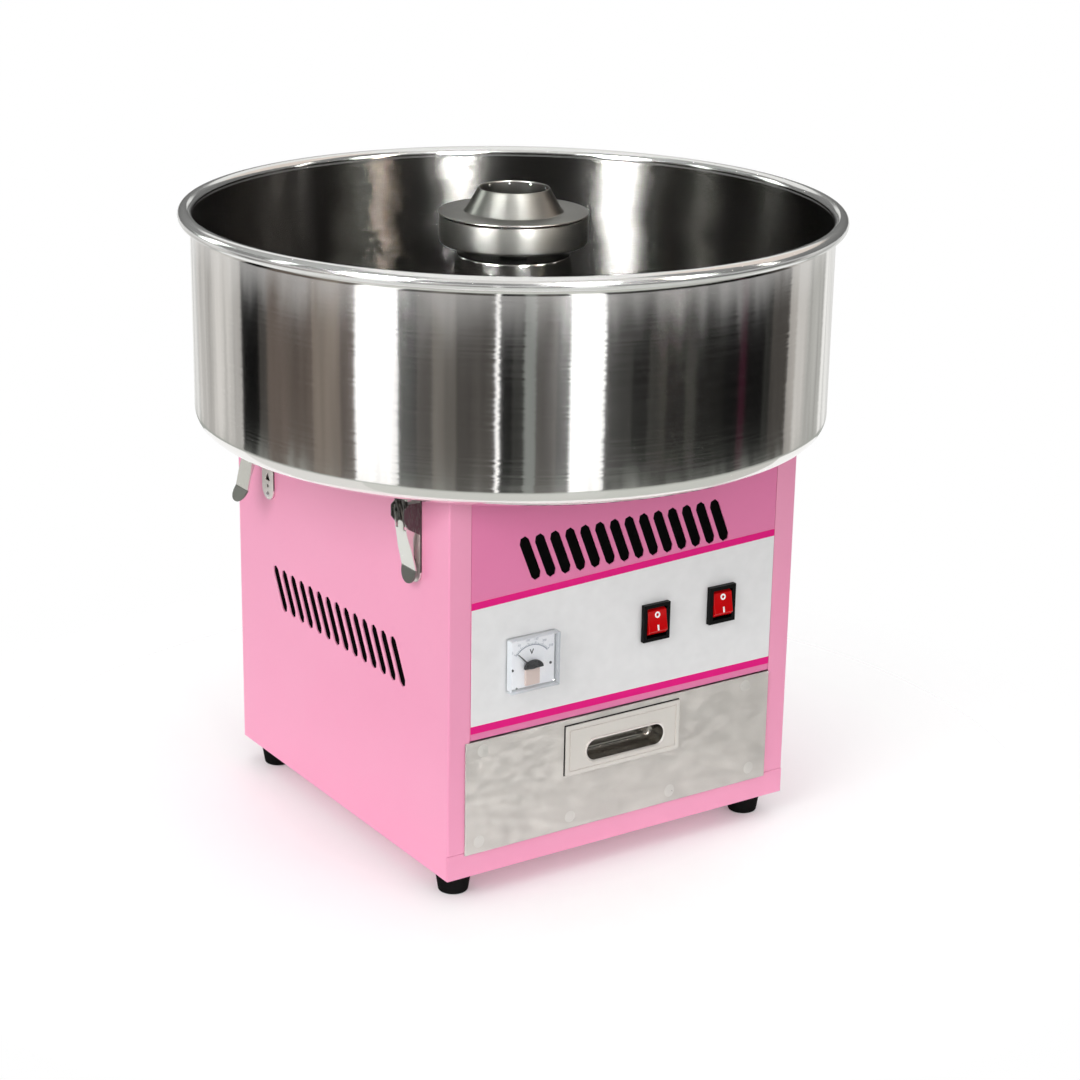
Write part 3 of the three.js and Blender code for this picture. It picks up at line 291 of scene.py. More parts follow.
def lettering(name, text, size, thick=0.05, bold=0.0):
    """Letters or figures, flat on the floor and centred, as a mesh."""
    clear()
    bpy.ops.object.text_add(location=(0, 0, 0))
    piece = bpy.context.object
    piece.name = name
    piece.data.body = text
    piece.data.size = size * MM
    piece.data.extrude = thick / 2 * MM
    piece.data.align_x, piece.data.align_y = "CENTER", "CENTER"
    piece.data.resolution_u = 3
    piece.data.offset = bold * MM
    bpy.ops.object.convert(target="MESH")
    edit(piece)
    pick_all()
    bpy.ops.mesh.remove_doubles(threshold=0.000001)
    bpy.ops.mesh.normals_make_consistent(inside=False)
    close()
    return piece


def joined(name, pieces):
    """Joins pieces into one mesh."""
    clear()
    for piece in pieces:
        piece.select_set(True)
    bpy.context.view_layer.objects.active = pieces[0]
    bpy.ops.object.join()
    bpy.context.object.name = name
    return bpy.context.object


def twin(piece, name, move=(0, 0, 0), mirrored=False):
    """A copy with its own mesh, mirrored across the plane x = 0 where that is asked, and moved in mm."""
    take(piece)
    bpy.ops.object.duplicate(linked=False)
    other = bpy.context.object
    other.name = name
    edit(other)
    pick_all()
    if mirrored:
        bpy.ops.transform.resize(value=(-1, 1, 1), center_override=(0, 0, 0))
        bpy.ops.mesh.normals_make_consistent(inside=False)
    bpy.ops.transform.translate(value=Vector(move) * MM)
    close()
    return other


def screw(name, radius, spot, out, slot_turn=20):
    """A pan head screw: a domed head with a cross recess, facing a direction."""
    dome = arc((radius * 0.6, radius * 0.18), radius * 0.4, 0, 80, 4)
    section = [(0.01, 0), (radius, 0), (radius, radius * 0.18)] + dome + [(0.01, radius * 0.62)]
    head = turned(name, section, 24)
    reach, half, bottom = radius * 0.62, radius * 0.12, radius * 0.3
    for turn in (slot_turn, slot_turn + 90):
        cut = block("recess", (-reach, -half, bottom), (reach, half, radius))
        edit(cut)
        pick_all()
        bpy.ops.transform.rotate(value=math.radians(turn), orient_axis="Z", center_override=(0, 0, 0))
        close()
        cut_away(head, cut)
    smooth(head, 35)
    return lay(head, spot, out)


def coat(piece, *materials):
    """Gives a piece its materials."""
    piece.data.materials.clear()
    for material in materials:
        piece.data.materials.append(material)


def second_coat(piece, test):
    """Gives a piece's second material to the faces whose middle in mm and normal pass the test."""
    for face in piece.data.polygons:
        face.material_index = 1 if test(face.center / MM, face.normal) else 0


def rounded(node, width, *materials, segments=2):
    """A copy of a CAD node with its edges rounded, and its materials."""
    piece = copy_of(node)
    round_edges(piece, width, segments)
    coat(piece, *materials)
    return piece


def stand_for(piece, node, *materials):
    """A new piece that takes the place of a CAD node."""
    coat(piece, *materials)
    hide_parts(node)
    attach(piece, BODY_OF[node])
    return piece


def add_on(piece, body, slot, *materials):
    """A new piece that rides beside the CAD nodes of a body."""
    coat(piece, *materials)
    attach(piece, body)
    return piece


# ---------------------------------------------------------------- materials

def linear(code):
    """The linear colour of an sRGB hex value."""
    parts = [int(code[i:i + 2], 16) / 255 for i in (1, 3, 5)]
    return (*(p / 12.92 if p <= 0.04045 else ((p + 0.055) / 1.055) ** 2.4 for p in parts), 1.0)


def link(material, source, node, name):
    """Links a socket, or a node's first output in use, to a named input of a node."""
    if isinstance(source, bpy.types.Node):
        source = next(socket for socket in source.outputs if socket.enabled)
    material.node_tree.links.new(source, node.inputs[name])


def add(material, kind, inputs=None, **settings):
    """Adds a node with its settings, and sets or links its inputs."""
    node = material.node_tree.nodes.new(kind)
    for name, value in settings.items():
        setattr(node, name, value)
    for name, value in (inputs or {}).items():
        if isinstance(value, (bpy.types.Node, bpy.types.NodeSocket)):
            link(material, value, node, name)
        else:
            node.inputs[name].default_value = value
    return node


def new_material(name, **sockets):
    """A material with its shader's sockets set, and the coordinates that its patterns read."""
    material = bpy.data.materials.new(name)
    material.use_nodes = True
    shader = material.node_tree.nodes["Principled BSDF"]
    for key, value in sockets.items():
        shader.inputs[key.replace("_", " ")].default_value = value
    return material, shader, add(material, "ShaderNodeTexCoord").outputs["Object"]


def per_mm(size):
    """The texture scale of a pattern whose features are this many mm apart."""
    return 1 / (size * MM)


def powder_coat(name, colour, shade):
    """Powder coated steel: a glossy even colour with a very shallow orange peel, 2 mm across."""
    material, shader, place = new_material(name, Roughness=0.28, IOR=1.5)
    cloud = add(material, "ShaderNodeTexNoise", {"Vector": place, "Scale": per_mm(60), "Detail": 2.0})
    tint = add(material, "ShaderNodeMix", {"Factor": cloud, "A": linear(colour), "B": linear(shade)},
               data_type="RGBA")
    link(material, tint, shader, "Base Color")
    peel = add(material, "ShaderNodeTexNoise", {"Vector": place, "Scale": per_mm(2), "Detail": 3.0})
    bump = add(material, "ShaderNodeBump", {"Height": peel, "Strength": 0.06, "Distance": 0.1 * MM})
    link(material, bump, shader, "Normal")
    return material


def ring_coordinates(material, place, around, along):
    """Coordinates that follow a turned surface: the angle round Z, and radius and height."""
    split = add(material, "ShaderNodeSeparateXYZ", {"Vector": place})
    angle = add(material, "ShaderNodeMath", {0: split.outputs["Y"], 1: split.outputs["X"]},
                operation="ARCTAN2")
    flat = add(material, "ShaderNodeCombineXYZ", {"X": split.outputs["X"], "Y": split.outputs["Y"]})
    radius = add(material, "ShaderNodeVectorMath", {0: flat}, operation="LENGTH")
    turn = add(material, "ShaderNodeMath", {0: angle, 1: around}, operation="MULTIPLY")
    rise = add(material, "ShaderNodeMath", {0: split.outputs["Z"], 1: along}, operation="MULTIPLY")
    out = add(material, "ShaderNodeMath", {0: radius, 1: along}, operation="MULTIPLY")
    return add(material, "ShaderNodeCombineXYZ", {"X": turn, "Y": rise, "Z": out})


def turned_steel(name, colour, roughness, wobble, blur=0.0, spread=0.05, dent=0.0, groove=0.0,
                 metal=1.0):
    """Stainless steel polished on a lathe: a mirror whose fine rings fray its reflections.
    The rings tilt the surface a little sideways, row by row, and blur it along Z. Slow dents bend them."""
    material, shader, place = new_material(name, Metallic=metal, Base_Color=linear(colour),
                                           Anisotropic=blur, Anisotropic_Rotation=0.25)
    rings = ring_coordinates(material, place, 3.0, per_mm(1.5))
    lines = add(material, "ShaderNodeTexNoise", {"Vector": rings, "Scale": 1.0, "Detail": 3.0})
    soft = add(material, "ShaderNodeMapRange", {"Value": lines, "From Min": 0.3, "From Max": 0.7,
                                                "To Min": roughness, "To Max": roughness + spread})
    link(material, soft, shader, "Roughness")
    fray = add(material, "ShaderNodeMapRange", {"Value": lines, "From Min": 0.25, "From Max": 0.75,
                                                "To Min": -wobble, "To Max": wobble})
    waves = ring_coordinates(material, place, 2.2, per_mm(42))
    slow = add(material, "ShaderNodeTexNoise", {"Vector": waves, "Scale": 1.0, "Detail": 1.0})
    bend = add(material, "ShaderNodeMapRange", {"Value": slow, "From Min": 0.25, "From Max": 0.75,
                                                "To Min": -dent, "To Max": dent})
    tilt = add(material, "ShaderNodeMath", {0: fray, 1: bend}, operation="ADD")
    round_z = add(material, "ShaderNodeTangent", direction_type="RADIAL", axis="Z")
    push = add(material, "ShaderNodeVectorMath", {0: round_z, "Scale": tilt}, operation="SCALE")
    skin = add(material, "ShaderNodeNewGeometry")
    lean = add(material, "ShaderNodeVectorMath", {0: skin.outputs["Normal"], 1: push}, operation="ADD")
    if groove:
        fine = ring_coordinates(material, place, 1.0, per_mm(0.7))
        cuts = add(material, "ShaderNodeTexNoise", {"Vector": fine, "Scale": 1.0, "Detail": 1.0})
        nod = add(material, "ShaderNodeMapRange", {"Value": cuts, "From Min": 0.25, "From Max": 0.75,
                                                   "To Min": -groove, "To Max": groove})
        rise = add(material, "ShaderNodeCombineXYZ", {"Z": nod})
        lean = add(material, "ShaderNodeVectorMath", {0: lean, 1: rise}, operation="ADD")
    unit = add(material, "ShaderNodeVectorMath", {0: lean}, operation="NORMALIZE")
    link(material, unit, shader, "Normal")
    link(material, round_z, shader, "Tangent")
    return material


def sheet_steel(name, colour, shade, roughness, grain, stretch, metal=1.0, relief=0.15):
    """Steel sheet: a grain along one direction, and a slow cloud of duller places.
    A metal share below one stands for the dull film of oxide or zinc that scatters some of the light."""
    material, shader, place = new_material(name, Metallic=metal)
    turn = add(material, "ShaderNodeMapping", {"Vector": place, "Scale": stretch})
    lines = add(material, "ShaderNodeTexNoise", {"Vector": turn, "Scale": per_mm(grain), "Detail": 4.0})
    cloud = add(material, "ShaderNodeTexNoise", {"Vector": place, "Scale": per_mm(35), "Detail": 3.0})
    tint = add(material, "ShaderNodeMix", {"Factor": cloud, "A": linear(colour), "B": linear(shade)},
               data_type="RGBA")
    link(material, tint, shader, "Base Color")
    soft = add(material, "ShaderNodeMapRange", {"Value": lines, "From Min": 0.3, "From Max": 0.7,
                                                "To Min": roughness * 0.8, "To Max": roughness * 1.25})
    link(material, soft, shader, "Roughness")
    bump = add(material, "ShaderNodeBump", {"Height": lines, "Strength": relief, "Distance": 0.05 * MM})
    link(material, bump, shader, "Normal")
    return material


def moulded(name, colour, roughness, grain=0.6, depth=0.04, ior=1.5, shine=0.5):
    """Moulded plastic or rubber: an even colour with the fine spark texture of its mould.
    Shine below one half stands for pores and dust, which swallow part of the sheen."""
    material, shader, place = new_material(name, IOR=ior, Specular_IOR_Level=shine)
    cloud = add(material, "ShaderNodeTexNoise", {"Vector": place, "Scale": per_mm(12), "Detail": 2.0})
    base = linear(colour)
    light = tuple(min(1.0, c * 1.12 + 0.002) for c in base[:3]) + (1.0,)
    tint = add(material, "ShaderNodeMix", {"Factor": cloud, "A": base, "B": light}, data_type="RGBA")
    link(material, tint, shader, "Base Color")
    spark = add(material, "ShaderNodeTexNoise", {"Vector": place, "Scale": per_mm(grain), "Detail": 2.0})
    soft = add(material, "ShaderNodeMapRange", {"Value": spark, "To Min": roughness * 0.85,
                                                "To Max": roughness * 1.15})
    link(material, soft, shader, "Roughness")
    bump = add(material, "ShaderNodeBump", {"Height": spark, "Strength": 0.3, "Distance": depth * MM})
    link(material, bump, shader, "Normal")
    return material


# How far a grain is drawn out along an axis: brushed along X, rolled along Z, or stacked in layers.
GRAIN_X = (0.05, 1.0, 1.0)
GRAIN_Z = (1.0, 1.0, 0.08)
LAYERS = (0.05, 0.05, 1.0)
EVEN = (1.0, 1.0, 1.0)

# Cabinet: an even glossy pink, a little deeper on the front panel, and a satin printed film.
PINK = powder_coat("powder_coated_steel_pink", "#F79CC0", "#F8A2C4")
ROSE = powder_coat("powder_coated_steel_rose", "#EA7BAD", "#EC81B1")
FILM_GREY = moulded("printed_film_grey", "#E5E5E5", 0.35, grain=2.0, shine=0.3)
FILM_MAGENTA = moulded("printed_film_magenta", "#E4007E", 0.4, shine=0.12)

# Bowl: a mirror outside, darker and dented inside, and a paler rim that years of wiping have dulled.
BOWL_STEEL = turned_steel("stainless_steel_spun_bright", "#F1EFEC", 0.085, 0.006, 0.8, 0.03, 0.002)
INSIDE_STEEL = turned_steel("stainless_steel_spun_inside", "#B6B4B0", 0.19, 0.006, 1.0, 0.02, 0.02, 0.1)
RIM_STEEL = turned_steel("stainless_steel_rolled_rim", "#ECECEA", 0.12, 0.003, 0.4, 0.04, metal=0.75)

# Head and column: a satin turned head over a brighter tube, with a small ground shaft and screws.
HEAD_STEEL = turned_steel("stainless_steel_turned", "#969590", 0.3, 0.004, 0.3, 0.04)
COVER_STEEL = turned_steel("stainless_steel_tube", "#D2D0CC", 0.16, 0.01, 0.6)
GROUND = turned_steel("steel_ground", "#C8CACC", 0.2, 0.004)
HEATER = sheet_steel("heater_alloy_stained", "#8A6A58", "#6E5A52", 0.4, 0.6, (1.0, 1.0, 0.2))

# Drawer: cloudy zinc with paler welds, a brushed handle plate, and a darker mirror in its cup, whose
# darkness is painted shade in the recess.
GALVANISED = sheet_steel("galvanised_sheet", "#A8A4A0", "#C1BDB8", 0.42, 5.0, (0.5, 1.0, 1.0), 0.5, 0.03)
WELD_STEEL = sheet_steel("spot_weld_bright", "#BEBBB7", "#CCCAC5", 0.34, 2.0, EVEN, 0.5, 0.03)
PLATE_STEEL = sheet_steel("stainless_plate_brushed", "#EDE7E2", "#E4DED9", 0.2, 0.8, GRAIN_X, 0.55, 0.03)
CUP_SHADE_STEEL = sheet_steel("stainless_cup_polished_shaded", "#A29E98", "#928E88", 0.14, 0.8, GRAIN_X, 1.0, 0.03)
TRAY_STEEL = sheet_steel("galvanised_tray", "#A8A6A2", "#B4B2AE", 0.4, 1.2, (0.06, 1.0, 1.0), 0.6, 0.05)

# Latches and fasteners: bright stamped levers whose tips are painted darker as a painted reflection at their
# bend, dark springy wire that also paints the shade on the base plates' ears, grey zinc.
LATCH_STEEL = sheet_steel("stainless_steel_stamped", "#E2E3DD", "#D6D7D0", 0.18, 0.6, GRAIN_Z, 0.8, 0.05)
TIP_SHADE_STEEL = sheet_steel("stainless_steel_tip_painted_dark", "#70716B", "#63645F", 0.35, 0.6, GRAIN_Z, 0.8, 0.05)
# Dark spring wire for the bails, which is also put on the base plates' ears as painted shade.
WIRE_AND_EAR_SHADE_STEEL = sheet_steel("spring_steel_dark_with_ear_shade", "#5C5A57", "#4C4A48", 0.25, 0.8, (1.0, 1.0, 0.1), 0.9, 0.05)
ZINC = sheet_steel("zinc_plated_steel", "#B8B8B4", "#C6C5C0", 0.26, 0.8, (1.0, 1.0, 0.1))
BLACK_OXIDE = turned_steel("steel_black_oxide", "#4A4A4C", 0.35, 0.004)

# Plastics, rubber and foam: blacks so deep that only their edges shine, and a glossy see-into red. The black
# foam is painted shade inside the vents.
BLACK_ABS = moulded("abs_black", "#040405", 0.32, shine=0.08)
RUBBER = moulded("rubber_black", "#040404", 0.75, 0.8, 0.08, shine=0.04)
VENT_SHADE_FOAM = moulded("foam_black_vent_shade", "#020202", 0.95, 1.4, 0.4, shine=0.01)
RED_PC = moulded("polycarbonate_red", "#C6030A", 0.1, 1.5, 0.01, 1.58)
BEIGE_ABS = moulded("abs_beige", "#E2CDC4", 0.35)
PHENOLIC = moulded("phenolic_brown", "#4A2A18", 0.38)

# Inks and the dial's card: matt and even.
WHITE_INK = moulded("ink_white", "#F6F6F6", 0.4)
BLACK_INK = moulded("ink_black", "#1A1A1C", 0.5)
INK_SLATE = moulded("ink_slate", "#8A93A0", 0.5)
DIAL_CARD = moulded("dial_card_white", "#F2F4FB", 0.5)

# Motor: layered grey steel, rough cast bells, and worn brass and carbon.
LAMINATED = sheet_steel("electrical_steel_laminated", "#77797C", "#85878A", 0.42, 0.5, LAYERS)
CAST = moulded("aluminium_cast", "#6E7072", 0.5, 1.2, 0.1)
BRASS = turned_steel("brass_turned", "#C8A050", 0.2, 0.006)
CARBON = moulded("carbon_graphite", "#202022", 0.6)


def clear_acrylic(name, colour, cover):
    """Clear moulded acrylic: seen through square on, brighter and glossier at its edges."""
    material, shader, place = new_material(name, Base_Color=linear(colour), Roughness=0.05, IOR=1.49)
    facing = add(material, "ShaderNodeLayerWeight", {"Blend": 0.2})
    dust = add(material, "ShaderNodeTexNoise", {"Vector": place, "Scale": per_mm(8), "Detail": 2.0})
    veil = add(material, "ShaderNodeMapRange", {"Value": dust, "To Min": cover, "To Max": cover + 0.02})
    rim = add(material, "ShaderNodeMath", {0: facing, 1: veil}, operation="ADD", use_clamp=True)
    link(material, rim, shader, "Alpha")
    return material


# The meter's cover: nearly unseen over the dial, and a little milky in its side walls.
ACRYLIC = clear_acrylic("acrylic_clear", "#F4F7FA", 0.01)
ACRYLIC_EDGE = clear_acrylic("acrylic_edge", "#EEF2F5", 0.05)


# ---------------------------------------------------------------- cabinet

CAB_X, CAB_Y = 160, 166
PANELS = {"front_panel": ROSE, "back_panel": PINK, "base_pan": PINK, "top_deck": ZINC}


def upright_corner(*points):
    """Whether all the points in mm lie on the cabinet's upright corners."""
    return all(abs(abs(p.x) - CAB_X) < NEAR and abs(abs(p.y) - CAB_Y) < NEAR for p in points)


def cabinet():
    """The folded panels: copies of the flat parts with their folds and edges rounded."""
    for node in ("side_panel_left", "side_panel_right"):
        panel = copy_of(node)
        edit(panel, "EDGE")
        pick_edges(upright_corner)
        bevel(1.6, 4)
        close()
        round_edges(panel, 0.3)
        coat(panel, PINK)
    for node, material in PANELS.items():
        rounded(node, 0.3, material)


# The black foam screens, painted shade inside the vents: where each one is, its lowest and highest corner,
# and the axis that it faces along.
SHADE_SCREENS = (
    ("front", (-104, -164.6, 240), (100, -162.6, 292), "Y"),
    ("back", (-98, 162.6, 162), (98, 164.6, 210), "Y"),
    ("left", (-158.6, -112, 149), (-156.6, 112, 199), "X"),
    ("right", (156.6, -112, 149), (158.6, 112, 199), "X"),
)


def vent_shade_screens():
    """Black foam screens behind the vents, put there as painted shade so that the vents are dark all
    through.
    """
    for where, low, high, across in SHADE_SCREENS:
        screen = block("vent_shade_screen_" + where, low, high)
        edit(screen, "EDGE")
        span = (0, 2) if across == "Y" else (1, 2)
        pick_edges(lambda a, b: all(abs(a[i] - b[i]) < NEAR for i in span))
        bevel(5, 5)
        bpy.ops.mesh.select_mode(type="FACE")
        pick_none()
        pick_faces(lambda middle, out: abs(out["XY".index(across)]) > 0.9)
        bpy.ops.mesh.inset(thickness=4 * MM, use_individual=True)
        bpy.ops.transform.resize(value=(0.7, 1, 1) if across == "X" else (1, 0.7, 1),
                                 center_override=(Vector(low) + Vector(high)) / 2 * MM)
        close()
        round_edges(screen, 0.25)
        add_on(screen, "cabinet", "rubber", VENT_SHADE_FOAM)


LOWER_STRIPE_TOP = 142.5
UPPER_STRIPE_START = Vector((-140.4, 0, 234.6))
UPPER_STRIPE_RUN = Vector((280.8, 0, 9.8))


def overlay():
    """The printed film: grey, with a magenta stripe along its lower and its slanted upper edge."""
    film = copy_of("control_overlay")
    edit(film)
    split_at(LOWER_STRIPE_TOP)
    pick_all()
    slope = UPPER_STRIPE_RUN.normalized()
    across = Vector((-slope.z, 0, slope.x))
    bpy.ops.mesh.bisect(plane_co=UPPER_STRIPE_START * MM, plane_no=across)
    close()
    coat(film, FILM_GREY, FILM_MAGENTA)
    second_coat(film, lambda middle, out: middle.z < LOWER_STRIPE_TOP
                or (middle - UPPER_STRIPE_START).dot(across) > 0)


# ---------------------------------------------------------------- bowl and head

RIM_FROM = 482.6  # the height where the rolled rim begins


def bowl():
    """The spun bowl: a rolled lip round the middle hole, a wide corner and a rolled bead at the rim."""
    outside = [(75, 335)] + arc((79, 327), 4, 180, 270, 6) + arc((236.5, 337), 14, 270, 360, 14)
    flare = arc((259.5, 478.2), 9, 180, 150, 6)
    bead = arc((254.5, 487.5), 5.5, -120, 204.6, 40)
    inside = arc((236.5, 337), 13, 360, 270, 14) + arc((79, 327), 3, 270, 180, 6) + [(76, 335)]
    piece = turned("bowl_spun", outside + flare + bead + inside, 256, angle=40)
    stand_for(piece, "bowl", BOWL_STEEL, INSIDE_STEEL, RIM_STEEL)
    for face in piece.data.polygons:
        middle = face.center / MM
        outward = Vector((middle.x, middle.y, 0)).normalized().dot(face.normal)
        inside = outward < -0.3 or face.normal.z > 0.3
        face.material_index = 2 if middle.z > RIM_FROM and outward > -0.99 else 1 if inside else 0


def head():
    """The spinner head, a lower cup and a top plate with the sugar funnel, and the column's cover below."""
    cover = [(44.8, 320), (54.6, 320), (55, 320.4), (55, 321.2), (46.9, 321.3), (46, 322.2), (46, 453)]
    cover += arc((43.5, 453), 2.5, 0, 90, 6) + [(9, 455.5), (9, 454.3), (43.2, 454.3)]
    cover += arc((43.2, 452.7), 1.6, 90, 0, 4) + [(44.8, 322.5)]
    stand_for(turned("column_tube", cover, 128), "column_cover", COVER_STEEL)
    cup = [(6.3, 463), (55.5, 463)] + arc((55.5, 465.5), 2.5, -90, 0, 6) + [(58, 484.5), (57.7, 484.8)]
    cup += [(56.8, 484.8), (56.5, 484.5), (56.5, 466.5)] + arc((54.5, 466.5), 2, 0, -90, 5) + [(6.3, 464.5)]
    stand_for(turned("head_cup", cup, 128), "head_base", HEAD_STEEL)
    top = [(37.2, 486.1)] + arc((58.3, 486.8), 0.7, -90, 90, 6) + [(39.6, 487.5)]
    top += arc((39.6, 489.3), 1.8, -90, -153, 4) + arc((27.4, 505.3), 0.7, 15, 195, 8)
    top += [(35.9, 488.2), (36.3, 486.8)]
    stand_for(turned("head_top_plate", top, 128), "head_top", HEAD_STEEL)


POST_RING = 49
RIVET_RING = 27.9
RIVET_HEIGHT = 503.2
FIRST_RIVET = CAMERA_AZIMUTH + 98.6


def head_details():
    """Four posts between cup and top plate, and ten small rivets round the inside of the sugar funnel."""
    section = [(0.01, 464.6), (2.3, 464.6), (2.5, 464.8), (2.5, 486), (2.3, 486.2), (0.01, 486.2)]
    post = turned("head_post_0", section, 24)
    posts = [post] + [twin(post, "head_post_%d" % i) for i in (1, 2, 3)]
    for i, piece in enumerate(posts):
        turn = math.radians(45 + 90 * i)
        edit(piece)
        pick_all()
        reach = POST_RING * MM
        bpy.ops.transform.translate(value=(reach * math.cos(turn), reach * math.sin(turn), 0))
        close()
        add_on(piece, "spinner", "dull_steel", GROUND)
    rivet = [(0.01, -0.4), (1.3, -0.4), (1.3, 0.2), (1.05, 0.65), (0.5, 0.9), (0.01, 0.95)]
    for i in range(10):
        turn = math.radians(FIRST_RIVET + 36 * i)
        inward = Vector((-math.cos(turn), -math.sin(turn), 0))
        spot = Vector((0, 0, RIVET_HEIGHT)) - inward * RIVET_RING
        piece = lay(turned("funnel_rivet_%d" % i, rivet, 16), spot, inward)
        add_on(piece, "spinner", "dull_steel", GROUND)


LIP_TOP = 313.4


def catches():
    """The catches welded under the bowl: a strip with its lip bent outwards, where the bails hook in."""
    catch = block("bowl_catch_right_front", (167.6, -126, 312), (169, -112, 323.6))
    edit(catch, "FACE")
    split_at(LIP_TOP)
    pick_none()
    pick_faces(lambda middle, out: out.x > 0.9 and middle.z < LIP_TOP)
    extrude((2.3 * MM, 0, 0))
    close()
    round_edges(catch, 0.35, 3, 40)
    spots = (("right_back", 230, False), ("left_front", 0, True), ("left_back", 230, True))
    twins = [twin(catch, "bowl_catch_" + where, (0, move, 0), mirrored) for where, move, mirrored in spots]
    for piece in [catch] + twins:
        add_on(piece, "floss_bowl", "polished_steel", LATCH_STEEL)


def feet():
    """Rubber feet: a moulded bumper with rounded edges and a screw recess below."""
    section = [(0.01, 20), (12.9, 20)] + arc((12.9, 18.5), 1.5, 90, 6, 4)
    section += arc((10.2, 1.5), 1.5, -6, -90, 4)
    section += [(5.5, 0), (5.2, 0.3), (5.2, 4.5), (4.9, 4.8), (0.01, 4.8)]
    for end, y in (("front", -142), ("back", 142)):
        for side, x in (("left", -140), ("right", 140)):
            foot = turned("rubber_foot_%s_%s" % (end, side), section, 48, centre=(x, y))
            stand_for(foot, "foot_%s_%s" % (end, side), RUBBER)


# ---------------------------------------------------------------- control panel

PIVOT = (-89, 181)
DIAL_FACE = -169.1
SCALE_START = -50  # where the scale starts, in degrees right of upright
FIGURE_RING = 22.4


def ink_arc(name, inner, outer, start, end):
    """A printed line on the dial between two radii round the needle's pivot, from one angle to another.
    Angles are in degrees right of upright."""
    steps = max(1, round(abs(end - start) / 4))
    turns = [math.radians(start + (end - start) * i / steps) for i in range(steps + 1)]
    spots = [(PIVOT[0] + inner * math.sin(t), DIAL_FACE, PIVOT[1] + inner * math.cos(t)) for t in turns]
    piece = drawn_line(name, spots)
    pick_all()
    extrude((0, 0, 0))
    grow = outer / inner
    bpy.ops.transform.resize(value=(grow, 1, grow), center_override=(PIVOT[0] * MM, 0, PIVOT[1] * MM))
    pick_all()
    extrude((0, -0.06 * MM, 0))
    pick_all()
    bpy.ops.mesh.normals_make_consistent(inside=False)
    close()
    return piece


def meter():
    """The voltmeter: scale, figures and screws on the dial, a cover over the coil, and a clear case."""
    rounded("meter_dial", 0.2, DIAL_CARD)
    lines = [ink_arc("arc", 17.6, 18.3, SCALE_START, -SCALE_START)]
    for i in range(26):
        turn = SCALE_START + 4 * i
        lines.append(ink_arc("tick", 18.2, 20.4 if i % 5 == 0 else 19.4, turn - 0.6, turn + 0.6))
    add_on(joined("meter_scale", lines), "cabinet", "dial_white", INK_SLATE)
    figures = []
    for i in range(6):
        turn = math.radians(SCALE_START + 20 * i)
        out, up = FIGURE_RING * math.sin(turn), FIGURE_RING * math.cos(turn)
        spot = (PIVOT[0] + out, DIAL_FACE - 0.02, PIVOT[1] + up)
        figures.append(lay(lettering("figure", str(50 * i), 2.5), spot, (0, -1, 0)))
    add_on(joined("meter_figures", figures), "cabinet", "dial_white", INK_SLATE)
    unit = lettering("meter_unit", "V", 5.4, 0.06, 0.18)
    lay(unit, (PIVOT[0], DIAL_FACE - 0.02, PIVOT[1] + 12.4), (0, -1, 0))
    add_on(unit, "cabinet", "dial_white", BLACK_INK)
    for side, x in (("left", -17), ("right", 17)):
        piece = screw("dial_screw_" + side, 1.1, (PIVOT[0] + x, DIAL_FACE, PIVOT[1] + 0.5), (0, -1, 0))
        add_on(piece, "cabinet", "dull_steel", BLACK_OXIDE)
        piece = screw("cover_screw_" + side, 1.0, (PIVOT[0] + x, -174.9, 169.2), (0, -1, 0))
        add_on(piece, "cabinet", "dull_steel", GROUND)
    coil = block("meter_coil_cover", (-95.5, -171.2, 167.5), (-82.5, -169.1, 180.5))
    round_edges(coil, 0.8, 3)
    add_on(coil, "cabinet", "brown_plastic", BEIGE_ABS)
    hood = turned("meter_hood", [(0.01, 0), (8.4, 0), (8.4, 1.5)] + arc((7.7, 1.5), 0.7, 0, 90, 4)
                  + [(5.4, 2.2), (4.9, 1.7), (3.4, 1.7), (2.9, 2.4), (0.01, 2.4)], 48)
    edit(hood)
    pick_all()
    bpy.ops.mesh.bisect(plane_co=(0, 0, 0), plane_no=(0, 1, 0), clear_inner=True, use_fill=True)
    pick_all()
    bpy.ops.transform.resize(value=(1, 0.72, 1), center_override=(0, 0, 0))
    close()
    lay(hood, (PIVOT[0], -171.3, PIVOT[1] + 0.8), (0, -1, 0))
    stand_for(hood, "meter_shroud", BLACK_ABS)
    lens = rounded("meter_lens", 0.5, ACRYLIC, ACRYLIC_EDGE, segments=3)
    second_coat(lens, lambda middle, out: abs(out.y) < 0.7)


def widest(piece, test):
    """The largest flat face whose middle in mm and normal pass a test."""
    return max((f for f in piece.data.polygons if test(f.center / MM, f.normal)), key=lambda f: f.area)


# How the rocker's dip and its two crests are moved, to lie flatter: their height above the middle, how far
# from the front plane they start, and the move, all in mm.
ROCKER_MOVES = ((0, -4.6, (0, -1.5, 0)), (7, -5.5, (0, 0.6, 1.5)), (-6.6, -5.5, (0, 0, -0.9)))
ROCKER_PLANE = -164.4
RING = [(1.2, -0.1), (2.5, -0.1), (2.5, 0.12), (2.4, 0.18), (1.3, 0.18), (1.2, 0.12)]
RING_HEIGHT, BAR_HEIGHT = 5.6, -4.4


def place_on(rocker, centre, height):
    """The spot and the direction of a mark at a height above the rocker's middle, on its own facet."""
    facet = widest(rocker, lambda middle, out: out.y < -0.5 and (middle.z - centre[1]) * height > 0)
    middle, out = facet.center / MM, facet.normal.copy()
    up = (Vector((0, 0, 1)) - out * out.z).normalized()
    spot = middle + up * ((centre[1] + height - middle.z) / up.z)
    return (centre[0], spot.y, spot.z), out


